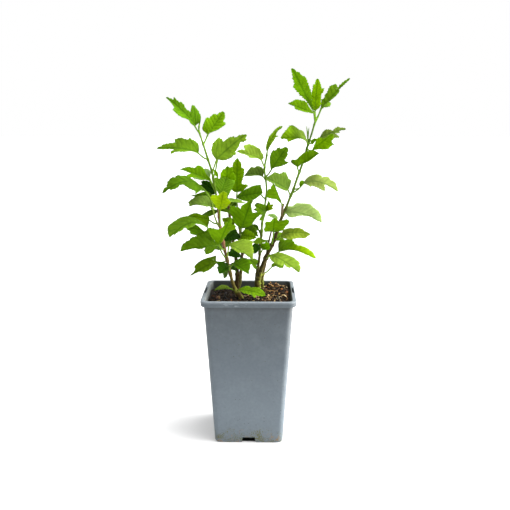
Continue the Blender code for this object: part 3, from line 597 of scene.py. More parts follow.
def addCrumbs(patch, brimHalf):
    # Lumps of peat: small balls of a few rings and sides, squashed and turned at random.
    generator = np.random.default_rng(21)
    count, rings, sides = compost["crumbs"], compost["crumbRings"], compost["crumbSides"]
    x, y = onSoil(generator, count, brimHalf - 3.5, compost["gatheredCrumbs"])
    up, around = np.meshgrid(np.linspace(0.12, math.pi - 0.12, rings), np.arange(sides) / sides * 2 * math.pi,
                             indexing="ij")
    ball = np.stack([np.sin(up) * np.cos(around), np.sin(up) * np.sin(around), np.cos(up)], axis=-1)
    size = generator.uniform(*compost["crumbSize"], (count, 1)) * generator.uniform(0.6, 1.3, (count, 3))
    bumpy = ball[None] * size[:, None, None] * generator.uniform(0.75, 1.2, (count, rings, sides, 1))
    spin = generator.uniform(0, math.pi, count)[:, None, None]
    points = np.stack([bumpy[..., 0] * np.cos(spin) - bumpy[..., 1] * np.sin(spin),
                       bumpy[..., 0] * np.sin(spin) + bumpy[..., 1] * np.cos(spin), bumpy[..., 2]], axis=-1)
    points += np.stack([x, y, fineSoilHeight(x, y) - 0.2], axis=1)[:, None, None]
    shade = generator.random((count, 1))
    tint = linear(compost["darkest"]) * (1 - shade) + linear(compost["brown"]) * shade
    for lump, tone in zip(points, tint):
        patch.add(lump, gridQuads(rings, sides, closedAcross=True), tone)


def addShreds(patch, brimHalf):
    # Curled bark fibres: a flat strip's outline, four-cornered, carried along a bent arc.
    generator = np.random.default_rng(8)
    count, steps = compost["shreds"], compost["shredSteps"]
    x, y = onSoil(generator, count, brimHalf - 6, compost["gatheredShreds"])
    along = np.linspace(-1, 1, steps)[None, :]
    long = generator.uniform(*compost["shredLong"], (count, 1))
    long = long * np.where(generator.random((count, 1)) < 0.25, 1.4, 0.9)
    wide = generator.uniform(*compost["shredWide"], (count, 1))
    thick = generator.uniform(*compost["shredThick"], (count, 1))
    curl = generator.normal(0, compost["shredCurl"], (count, 1))
    heading = generator.uniform(0, 2 * math.pi, (count, 1)) + curl * along
    tilt, bend = (generator.normal(0, compost[name], (count, 1)) for name in ("shredTilt", "shredBend"))
    lift = tilt + bend * along
    step = long * 2 / (steps - 1)
    path = np.cumsum(np.stack([step * np.cos(heading) * np.cos(lift), step * np.sin(heading) * np.cos(lift),
                               step * np.sin(lift)], axis=-1), axis=1)
    path = path - path.mean(axis=1, keepdims=True)
    taper = (1 - np.abs(along) ** 3 * 0.75)
    side = np.stack([-np.sin(heading), np.cos(heading), np.zeros_like(heading)], axis=-1)
    upward = np.array([0.0, 0.0, 1.0])
    corners = ((1, 0), (0.3, 1), (-1, 0.2), (-0.2, -1))
    strips = np.stack([path + side * (wide * taper * a)[..., None] + upward * (thick * taper * b)[..., None]
                       for a, b in corners], axis=2)
    height = fineSoilHeight(x, y) + generator.uniform(0.0, compost["shredsLoose"], count)
    strips += np.stack([x, y, height], axis=1)[:, None, None]
    keep = np.maximum(np.abs(strips[..., 0]), np.abs(strips[..., 1])).max(axis=(1, 2)) < brimHalf - 1
    palette = np.stack([linear(c) for c in compost["barkColours"]])
    dry = np.clip((x + 30) / 50, 0.3, 1)[:, None]  # painted light: darker at the left and lighter at the right, where the light comes from
    bright = generator.random((count, 1)) < compost["brightShare"]
    tint = palette[generator.integers(0, len(palette), count)] * dry * np.where(
        bright, *(generator.uniform(*compost[name], (count, 1)) for name in ("bright", "dull")))
    for strip, tone in zip(strips[keep], tint[keep]):
        patch.add(strip, gridQuads(steps, len(corners), closedAcross=True), tone, finish=1)


def compostFinish():
    # Damp peat: crumbly and nearly black, with paler dry crumbs and a faint wet shine.
    material, shader, add = newMaterial("peatCompost", {"Roughness": 0.85, "IOR": 1.4})
    grit = add("TexNoise", {"Vector": add("TexCoord", output="Object"), "Scale": 1 / 0.0018, "Detail": 4.0,
                            "Roughness": 0.7})
    dry = add("ValToRGB", [grit], stops=[(0.50, 0.0), (0.74, 0.35)])
    fill(shader, {
        "Base Color": add("MixRGB", (dry, add("Attribute", attribute_name="tint"), colour(compost["brown"]))),
        "Normal": add("Bump", {"Strength": 0.7, "Distance": 0.0008, "Height": grit})})
    return material


def barkFinish():
    # Shredded conifer bark: dry, fibrous and matt, streaked from tan to red-brown.
    material, shader, add = newMaterial("shreddedBark", {"Roughness": 0.8, "IOR": 1.45})
    fibres = add("TexNoise", {"Vector": add("TexCoord", output="Object"), "Scale": 1 / 0.0012, "Detail": 3.0})
    streaks = add("ValToRGB", [fibres], stops=[(0.3, 0.6), (0.7, 1.25)])
    base = add("MixRGB", (1.0, add("Attribute", attribute_name="tint"), streaks), blend_type="MULTIPLY")
    fill(shader, {
        "Base Color": base, "Normal": add("Bump", {"Strength": 0.5, "Distance": 0.0004, "Height": fibres})})
    return material


makeCompost()
print("growing medium is made")


# Leaves: blades of rose of sharon, three-lobed and coarsely toothed

leafShape = {
    "rows": 108, "halfColumns": 6, "thick": 0.34, "fuller": 1.04, "wave": 0.026, "quilt": 0.007,
    "toothGain": 1.45, "toothJitter": 0.022,  # for the margins, and then for a leaf's own outline
    "ownGain": 1.3, "ownJitter": 0.006, "blurSteps": 11,
    "smallTeeth": (0.052, 0.026), "mottle": ((3.6, 3, 0.13), (10.0, 9, 0.20)),  # cell, seed, strength
    "sideVeins": 7.5, "veinSlant": 0.62, "archPeak": 0.42, "droop": 0.033,
    "stalkRadius": 1.28, "stalkSag": 0.10, "stalkUnder": 0.35, "ribRunsTo": 0.86,
}

# Half a blade's edge from stalk to tip: distances along and across by turns, in hundredths of the
# blade's length. The teeth are few, coarse and blunt, and lean towards the tip.
margins = {
    "oval": ("1 8 6 16.5 15 23.2 26 27.2 33 28.8 33.5 26.2 42 28.5 50 28 50.5 24.6 59 25.2 66 23.2 "
             "66 19.6 74 18.6 80 16.2 79.5 12.8 87 10.8 92 8.2 91.5 5.2 97 2.6"),
    "deep": ("0 9 1 18 6 25.5 11 31.8 13 31.2 20 37.5 24.5 40.8 26 39.2 34 43 40.5 43.8 42.5 40 41 32 "
             "38.5 25.5 37.2 19.5 44 22.2 53 24.6 60 23.8 60.5 20 69 20.2 77 17.5 76.5 13.6 85 11.8 "
             "90 9.2 89.5 6 96 3.6"),
    "midLobe": ("1 12 7 22.5 16 28.2 25 31.2 26.5 30 37 35 46 37.2 52.5 35.2 53.5 30 52 24.5 60 26.2 "
                "69 24.8 75 21.2 75 15.2 83 14.2 89 10.8 89 6.6 96 3.6"),
}

# Each leaf's tone matches how that leaf looks, so the tones hold painted light and shade as well as the
# leaves' own colours: darker tones partly stand for leaves in shade, lighter ones partly for leaves in the
# light.
leafTones = {
    "deepest": "#1a3700", "deep": "#456207", "dullDark": "#536a25", "shade": "#4f7208",
    "mid": "#547b04", "moss": "#5b7d13", "green": "#5c8105", "fresh": "#65860f",
    "dullLight": "#68842c", "bright": "#6a9502", "light": "#76912b", "sunny": "#76931e",
    "greyLight": "#758e45", "lime": "#799a05", "pale": "#839b53",
    "stalk": "#587a1a", "bud": "#5c8020",
}


eye = np.array([28.0, -1062.0, 513.0])  # where the photograph was taken from, in whole millimetres


def seen(place):
    # (right, up, back) read on the upright plane through the pot's middle, and how far behind it
    # the point really is: the point slides along the line from the eye.
    right, up, back = place
    return eye + (np.array([right, 0.0, up]) - eye) * ((back - eye[1]) / -eye[1])


def leaf(cane, node, base, tip, *tones, edges=("oval", "oval"), wide=1.0, turn=25, arch=4, fold=20):
    # cane and node: where its stalk starts. base and tip: ends of the blade, as seen() takes them.
    # edges: left and right, looking from stalk to tip, each a margin's name or an outline of its
    # own, written as the margins are. turn: degrees from facing the eye towards the sky. arch:
    # rise of the rib in mm. fold: how far the halves tilt up from the rib, in degrees. tones: one,
    # or a few from stalk to tip; each matches how the leaf looks, so it holds painted light and
    # shade as well as the leaf's own colour.
    return locals()


def smallTeeth(edge, generator):
    # Outward steps between the drawn teeth: each rises slowly towards the tip, then drops.
    step, high = leafShape["smallTeeth"]
    starts = np.cumsum(generator.uniform(0.6, 1.4, int(2 / step)) * step) - step
    heights = generator.uniform(0.3, 1.3, len(starts)) * high
    t = np.linspace(0, 1, len(edge))
    tooth = np.clip(np.searchsorted(starts, t, side="right") - 1, 0, len(starts) - 2)
    risen = np.clip((t - starts[tooth]) / (starts[tooth + 1] - starts[tooth]), 0, 1)
    nearEnds = np.clip((t - 0.16) / 0.1, 0, 1) * np.clip((0.97 - t) / 0.05, 0, 1)
    out = heights[tooth] * (risen ** 1.3 - 0.4) * nearEnds
    tangent = unit(np.gradient(edge, axis=0) + 1e-9)
    return np.stack([-tangent[:, 1], tangent[:, 0]], axis=1) * out[:, None]


def bladeEdges(edges, generator):
    # Each half's edge in equal steps along its length, each tooth a little longer or shorter than
    # drawn, and for each step the place on the rib that its side vein leaves from.
    t = np.linspace(0, 1, leafShape["rows"])
    blur = leafShape["blurSteps"]
    halves = []
    for edge in edges:
        kind = "tooth" if edge in margins else "own"
        knots = np.array(f"0 0 {margins.get(edge, edge)} 100 0".split(), float).reshape(-1, 2) / 100
        knots[1:-1] *= 1 + generator.normal(0, leafShape[kind + "Jitter"], (len(knots) - 2, 2))
        run = np.concatenate([[0], np.cumsum(np.hypot(*np.diff(knots, axis=0).T))])
        edge = np.stack([np.interp(t, run / run[-1], knots[:, axis]) for axis in range(2)], axis=1)
        edge[1:-1] = edge[:-2] / 4 + edge[1:-1] / 2 + edge[2:] / 4
        soft = np.stack([np.convolve(np.pad(edge[:, axis], blur // 2, "edge"), np.ones(blur) / blur, "valid")
                         for axis in range(2)], axis=1)
        edge[4:-2] = (soft + (edge - soft) * leafShape[kind + "Gain"])[4:-2]
        halves.append(edge + smallTeeth(edge, generator))
    rib = sum(edge[:, 0] - leafShape["veinSlant"] * edge[:, 1] for edge in halves) / 2
    rib = np.maximum.accumulate(np.maximum(rib, 0.10 * t))
    rib[1:-1] = rib[:-2] / 3 + rib[1:-1] / 3 + rib[2:] / 3
    rib = rib + 0.01 * t
    return np.minimum(rib / rib[-1], 1), halves


class Blade:
    # Where the points of one leaf lie: u runs up the rib and v across it, in blade lengths.

    def __init__(self, spec, seed):
        self.spec = spec
        self.base, self.tip = seen(spec["base"]), seen(spec["tip"])
        chord = self.tip - self.base
        self.long = np.linalg.norm(chord)
        along = unit(chord)
        toEye = unit(eye - (self.base + self.tip) / 2)
        facing = unit(toEye - along * np.dot(toEye, along))
        skyward = np.cross(along, facing)
        skyward *= 1 if skyward[2] >= 0 else -1
        turn = math.radians(spec["turn"])
        self.normal = facing * math.cos(turn) + skyward * math.sin(turn)
        self.side = np.cross(self.normal, along)
        self.peak = self.base + chord * leafShape["archPeak"] + self.normal * spec["arch"] * 2
        dice = random.Random(seed)
        self.waves = {side: dice.uniform(0, 2 * math.pi) for side in (-1, 1)}

    def rib(self, u):
        # A parabola from base to tip that rises to the arch.
        u = np.asarray(u)[..., None]
        return self.base * (1 - u) ** 2 + self.peak * 2 * u * (1 - u) + self.tip * u ** 2

    def at(self, u, v, inward):
        # Out from the rib along the tilted half, lifted by the edge's wave and by the quilting
        # between side veins. inward is 0 at the rib and 1 at the edge.
        slope = (self.peak - self.base) * (1 - u)[..., None] + (self.tip - self.peak) * u[..., None]
        lift = np.cross(unit(slope), self.side)
        fold = math.radians(self.spec["fold"])
        out = v * self.long * self.spec["wide"] * leafShape["fuller"]
        phase = np.where(v > 0, self.waves[1], self.waves[-1])
        rise = np.abs(out) * math.sin(fold)
        rise = rise + leafShape["wave"] * self.long * np.sin(9 * u + phase) * np.abs(v) / 0.33
        veins = (u - leafShape["veinSlant"] * np.abs(v)) * leafShape["sideVeins"]
        quilt = leafShape["quilt"] * self.long * (np.sin(math.pi * veins) ** 2 - 0.6)
        rise = rise + quilt * np.sin(math.pi * np.clip(inward, 0, 1)) ** 0.8
        rise = rise - leafShape["droop"] * self.long * (v / 0.33) ** 2 * math.cos(fold)
        return self.rib(u) + self.side * (out * math.cos(fold))[..., None] + lift * rise[..., None]


def addBlade(patch, blade, seed):
    # A fan of rays from the rib to the two edges, 15 points across and one row for each ray.
    generator = np.random.default_rng(seed)
    ribPlace, halves = bladeEdges(blade.spec["edges"], generator)
    inward = np.linspace(0, 1, leafShape["halfColumns"] + 1)
    sides = []
    for edge, sign in zip(halves, (1, -1)):
        u = ribPlace[:, None] + (edge[:, :1] - ribPlace[:, None]) * inward
        v = sign * edge[:, 1:2] * inward
        sides.append(np.stack([u, v, np.broadcast_to(inward, u.shape)], axis=-1))
    flat = np.concatenate([sides[0][:, ::-1], sides[1][:, 1:]], axis=1)[1:-1]
    u, v, inward = flat[..., 0], flat[..., 1], flat[..., 2]
    points = blade.at(u, v, inward)
    mottle = sum(smoothNoise(u * 40, v * 40, cell, seed + own) * strength
                 for cell, own, strength in leafShape["mottle"])
    shade = 0.98 + mottle - 0.24 * np.exp(-u / 0.12) + 0.20 * inward ** 3
    warm = generator.normal(0, 0.06)
    # The leaf's tones, with their painted light and shade, blend from stalk to tip.
    tone = linear(leafTones[blade.spec["tones"][0]])
    for order, later in enumerate(blade.spec["tones"][1:], 1):
        outer = 1 / (1 + np.exp((order / len(blade.spec["tones"]) - u) / 0.04))[..., None]
        tone = tone * (1 - outer) + linear(leafTones[later]) * outer
    tint = np.clip(tone * np.array([1 + warm, 1.0, 1 - warm]) * shade[..., None], 0, 1)
    rows, columns = u.shape
    patch.add(points, gridQuads(rows, columns), tint, place=np.stack([u, v], axis=-1))


# Canes, stalks and buds

caneShape = {
    "sides": 16, "stalkSides": 8, "step": 1.4, "stalkStep": 1.6,
    "thicker": 1.10, "nodeSwell": 0.34, "nodeLong": 2.6, "rootDeep": 36.0,
    # patches: how much lighter the knobs and darker the hollows are painted, as painted light and shade.
    # sideLight: how much darker the left side is painted than the right. moss: its colour, laid more on the
    # lit side.
    "knobs": (0.04, 0.26), "patches": (0.18, 0.50), "sideLight": 0.36, "moss": "#727e2c",
    "budLong": (2.2, 4.2), "budRadius": (0.7, 1.05),
}


def smoothPath(knots, step):
    # A curve through the knots: on each span a cubic whose slope at a knot is half the way from
    # the knot before to the knot after.
    knots = np.asarray(knots, float)
    before = np.concatenate([knots[:1] * 2 - knots[1:2], knots[:-1]])
    after = np.concatenate([knots[1:], knots[-1:] * 2 - knots[-2:-1]])
    slope = (after - before) / 2
    spans = np.linalg.norm(np.diff(knots[:, :3], axis=0), axis=1)
    run = np.concatenate([[0], np.cumsum(spans)])
    count = max(4, int(run[-1] / step))
    place = np.interp(np.linspace(0, run[-1], count), run, np.arange(len(knots)))
    index = np.minimum(place.astype(int), len(knots) - 2)
    t = (place - index)[:, None]
    return ((2 * t ** 3 - 3 * t ** 2 + 1) * knots[index] + (t ** 3 - 2 * t ** 2 + t) * slope[index]
            + (3 * t ** 2 - 2 * t ** 3) * knots[index + 1] + (t ** 3 - t ** 2) * slope[index + 1])


def tubePoints(path, radii, sides):
    # Rings of points square to the path, all starting from one fixed sideways direction.
    tangent = unit(np.gradient(path, axis=0))
    chord = np.abs(path[-1] - path[0])
    fixed = np.array([1.0, 0, 0]) if chord.argmax() == 1 else np.array([0, 1.0, 0])
    first = unit(np.cross(tangent, fixed))
    second = np.cross(tangent, first)
    angle = np.arange(sides) / sides * 2 * math.pi
    ring = first[:, None] * np.cos(angle)[:, None] + second[:, None] * np.sin(angle)[:, None]
    return path[:, None] + ring * radii[..., None]


def tubeQuads(rows, sides):
    # The tube's faces, and each end closed by quads that fan from its first point.
    fan = np.array([(0, 2 * i + 1, 2 * i + 2, 2 * i + 3) for i in range(sides // 2 - 1)])
    return np.concatenate([gridQuads(rows, sides, closedAcross=True), fan[:, ::-1], fan + (rows - 1) * sides])


def addTube(patch, path, radii, tint):
    # A thin green tube, for a stalk or a bud.
    sides = caneShape["stalkSides"]
    patch.add(tubePoints(path, radii[:, None], sides), tubeQuads(len(path), sides), tint, finish=1)


def stopsColour(stops, height):
    # A colour blended between (height, hex colour) stops.
    heights = [stop[0] for stop in stops]
    colours = np.stack([linear(stop[1]) for stop in stops])
    return np.stack([np.interp(height, heights, colours[:, i]) for i in range(3)], axis=-1)


def caneKnots(stem, name):
    # The cane's knots as (x, y, z, radius, seen height). One that starts in the ground has a root.
    cane = stem["canes"][name]
    knots = [(*seen(k[:3]), k[3], k[1]) for k in cane["knots"]]
    if cane["fork"] is None:
        x, y, radius = stem["foot"]
        ground = float(soilHeight(x, y))
        knots = [(x, y, ground - caneShape["rootDeep"], radius, knots[0][4] - 12),
                 (x, y, ground - 3, radius, knots[0][4] - 5)] + knots
    return np.array(knots)


def caneAt(stem, name, height):
    # The point of a cane's middle line that is seen at this height.
    knots = np.array([(*seen(k[:3]), k[3], k[1]) for k in stem["canes"][name]["knots"]])
    return np.array([np.interp(height, knots[:, 4], knots[:, i]) for i in range(3)])


def addCane(patch, stem, name, seed):
    # The radius swells at each leaf's joint. The older the bark, the more knobs stick out of it.
    # Painted light and shade: the knobs are lighter and the hollows between them darker, the right side
    # is lighter and the left darker, and moss grows on the knobs low down, laid more on the lit right
    # side, so it is partly real moss and partly painted light.
    cane = stem["canes"][name]
    path = smoothPath(caneKnots(stem, name), caneShape["step"])
    height = path[:, 4:]
    joints = [spec["node"] for spec in stem["leaves"] if spec["cane"] == name]
    swell = sum((np.exp(-((path[:, 4] - joint) / caneShape["nodeLong"]) ** 2) for joint in joints), 0)
    radius = path[:, 3] * caneShape["thicker"] * (1 + caneShape["nodeSwell"] * np.minimum(swell, 1))
    angle = np.arange(caneShape["sides"])[None] / caneShape["sides"] * 2 * math.pi
    knobs = smoothNoise(2.4 * np.cos(angle), 0.40 * height, 1.2, seed) \
        + smoothNoise(2.4 * np.sin(angle) + 9, 0.44 * height, 1.2, seed + 2)
    cracks = smoothNoise(6 * np.cos(angle), 0.30 * height, 1.2, seed + 1) \
        + smoothNoise(6 * np.sin(angle) + 9, 0.34 * height, 1.2, seed + 3)
    rough = 0.62 * knobs + 0.38 * cracks
    old = np.clip((path[:, 3:4] - 1.6) / 3.2, 0, 1)
    knob, patchy = (low + (high - low) * old for low, high in (caneShape["knobs"], caneShape["patches"]))
    colours = stopsColour(cane["bark"], path[:, 4])[:, None]
    mossy = np.clip((cane.get("mossTo", 0) - height) / 16, 0, 1)
    mossy = mossy * np.clip(0.9 * knobs - 0.8 * np.cos(angle) - 0.1, 0, 1)
    colours = colours * (1 - mossy[..., None]) + linear(caneShape["moss"]) * mossy[..., None]
    light = (1 + patchy * 1.4 * rough) * (1 - (0.22 + caneShape["sideLight"] * old) * np.cos(angle))
    points = tubePoints(path[:, :3], radius[:, None] * (1 + knob * rough), caneShape["sides"])
    patch.add(points, tubeQuads(len(path), caneShape["sides"]), np.clip(colours * light[..., None], 0, 1))


def addStalk(patch, blade, joint):
    # From the cane, sagging a little, to the blade, and on under it as the midrib.
    under = blade.normal * leafShape["stalkUnder"]
    base = blade.base - under
    middle = (joint + base) / 2
    middle[2] -= leafShape["stalkSag"] * math.hypot(*(base - joint)[:2])
    ribPlaces = blade.rib(np.linspace(0.1, leafShape["ribRunsTo"], 9)) - under * 0.7
    path = smoothPath(np.concatenate([[joint, middle, base], ribPlaces]), caneShape["stalkStep"])
    toBase = np.linalg.norm(joint - middle) + np.linalg.norm(middle - base)
    run = np.concatenate([[0], np.cumsum(np.linalg.norm(np.diff(path, axis=0), axis=1))])
    past = np.clip((run - toBase) / max(run[-1] - toBase, 1), 0, 1)
    radius = leafShape["stalkRadius"] * (0.95 + 0.55 * np.exp(-run / 2.0))
    radius = radius * (1 - 0.45 * np.clip(past * 6, 0, 1)) * (1 - 0.85 * past)
    # Each stalk takes half its leaf's tone, and with it the leaf's painted light and shade. One side is
    # painted lighter and the other darker, as painted light.
    own = linear(leafTones[blade.spec["tones"][0]]) * 0.5 + linear(leafTones["stalk"]) * 0.5
    colours = own * (1 + 0.5 * np.exp(-run / 4))[:, None] * (1 + 0.2 * past[:, None])
    sunny = 1 - 0.3 * np.cos(np.arange(caneShape["stalkSides"]) / caneShape["stalkSides"] * 2 * math.pi)
    addTube(patch, path, radius, np.clip(colours[:, None] * sunny[:, None], 0, 1))


def addBud(patch, joint, towards, seed):
    # A pointed bud about 3 mm long in the angle of the stalk.
    generator = np.random.default_rng(seed)
    heading = unit(unit(towards - joint) + np.array([0, 0, 1.3]))
    start = joint + unit((towards - joint) * (1, 1, 0.2)) * 1.2
    t = np.linspace(0, 1, 7)
    path = start + heading * (t * generator.uniform(*caneShape["budLong"]))[:, None]
    radius = generator.uniform(*caneShape["budRadius"]) * (0.75 + 0.5 * t)
    radius = radius * np.sqrt(np.clip(1 - t ** 1.6, 0.01, 1))
    addTube(patch, path, radius, linear(leafTones["bud"]))


def leafFinish(under):
    # A thin living blade. Above it has a waxy half-gloss, with sunken veins painted darker as shade in their
    # grooves, and soft quilting between them. Below it is paler, greyer and matt, and the veins stand out.
    material, shader, add = newMaterial("leafUnderside" if under else "leafUpperSide", {
        "Roughness": 0.62 if under else 0.50, "IOR": 1.42, "Specular IOR Level": 0.02})
    place = add("TexCoord", output="Object")
    flat = add("UVMap", uv_map="flatMap")
    along, across = (add("SeparateXYZ", [flat], axis) for axis in "XY")
    across = add("Math", [across], operation="ABSOLUTE")
    # Side veins: chevrons, a fixed number to a blade, thinning towards the edge.
    slant = add("Math", (across, leafShape["veinSlant"]), operation="MULTIPLY")
    chevron = add("Math", (along, slant), operation="SUBTRACT")
    chevron = add("Math", (chevron, leafShape["sideVeins"]), operation="MULTIPLY")
    # They wander and bend, as a slow noise moves them by up to a quarter of their spacing.
    wander = add("TexNoise", {"Vector": flat, "Scale": 5.0, "Detail": 1.0})
    bend = add("TexNoise", {"Vector": place, "Scale": 1 / 0.012, "Detail": 2.0})
    wander = add("Math", (bend, 0.8, wander), operation="MULTIPLY_ADD")
    fromVein = add("Math", (add("Math", (chevron, wander), operation="ADD"), 0.5), operation="PINGPONG")
    sideVein = add("ValToRGB", [fromVein], stops=[(0.0, 0.65), (0.045, 0.42), (0.13, 0.0)])
    midrib = add("ValToRGB", [across], stops=[(0.0, 1.0), (0.012, 0.9), (0.030, 0.0)])
    # Two more main veins fan from the stalk into the side lobes, at 38 degrees from the rib.
    lobeVein = add("Math", (along, -0.80, across), operation="MULTIPLY_ADD")
    lobeVein = add("Math", [lobeVein], operation="ABSOLUTE")
    lobeVein = add("ValToRGB", [lobeVein], stops=[(0.0, 0.9), (0.010, 0.7), (0.026, 0.0)])
    nearBase = add("ValToRGB", [along], stops=[(0.0, 1.0), (0.34, 1.0), (0.44, 0.0)])
    veins = add("Math", (lobeVein, nearBase), operation="MULTIPLY")
    for more in (sideVein, midrib):
        veins = add("Math", (veins, more), operation="MAXIMUM")
    speckle = add("TexNoise", {"Vector": place, "Scale": 1 / 0.004, "Detail": 3.0, "Roughness": 0.6})
    speckle = add("ValToRGB", [speckle], stops=[(0.32, 0.90), (0.68, 1.09)])
    base = add("MixRGB", (1.0, add("Attribute", attribute_name="tint"), speckle), blend_type="MULTIPLY")
    if under:
        base = add("MixRGB", (0.30, base, colour("#8fa866")))
    # Above, the veins are painted darker as shade in their grooves; below, they are paler.
    veinTint = (1.35, 1.25, 1.5, 1) if under else (0.50, 0.62, 0.55, 1)
    veined = add("MixRGB", (1.0, base, veinTint), blend_type="MULTIPLY")
    # Height: puffed between side veins, sunk at every vein above and raised below.
    puff = add("ValToRGB", [fromVein], stops=[(0.0, 0.0), (0.5, 1.0)])
    height = add("Math", (veins, 0.6 if under else -0.6, add("Math", (puff, 0.8), operation="MULTIPLY")),
                 operation="MULTIPLY_ADD")
    fill(shader, {
        "Base Color": add("MixRGB", (add("Math", (veins, 0.8), operation="MULTIPLY"), base, veined)),
        "Normal": add("Bump", {"Strength": 0.30, "Distance": 0.0010, "Height": height})})
    return material


def stalkFinish():
    # Leaf stalks and buds: soft green skin with a faint gloss and a bloom of short hairs.
    material, shader, add = newMaterial("greenStalk", {
        "Roughness": 0.55, "IOR": 1.42, "Specular IOR Level": 0.1,
        "Sheen Weight": 0.15, "Sheen Roughness": 0.5, "Sheen Tint": (0.75, 0.85, 0.4, 1)})
    fill(shader, {"Base Color": add("Attribute", attribute_name="tint")})
    return material


def caneFinish():
    # Young bark and green shoots: smooth where green, dry and finely fissured where brown, with
    # small pale pores, and with a fur of moss and fine fibres that catches light at the edges.
    material, shader, add = newMaterial("shrubBark", {
        "Roughness": 0.7, "IOR": 1.45, "Specular IOR Level": 0.12,
        "Sheen Weight": 0.35, "Sheen Roughness": 0.4, "Sheen Tint": (0.62, 0.60, 0.28, 1)})
    place = add("TexCoord", output="Object")
    stretched = add("Mapping", {"Vector": place, "Scale": (1, 1, 0.3)})
    grain = add("TexNoise", {"Vector": stretched, "Scale": 1 / 0.0015, "Detail": 4.0, "Roughness": 0.65})
    streaks = add("ValToRGB", [grain], stops=[(0.3, 0.62), (0.7, 1.30)])
    base = add("MixRGB", (1.0, add("Attribute", attribute_name="tint"), streaks), blend_type="MULTIPLY")
    pores = add("ValToRGB", [add("TexVoronoi", {"Vector": place, "Scale": 1 / 0.004})],
                stops=[(0.10, 0.3), (0.16, 0.0)])
    fill(shader, {
        "Base Color": add("MixRGB", (pores, base, colour("#b7ab83"))),
        "Normal": add("Bump", {"Strength": 0.5, "Distance": 0.0004, "Height": grain})})
    return material


# The four stems, measured in the photograph's plane. A cane's knots are (right, up, back, radius)
# as seen() takes them, and its bark goes by the height that it is seen at.

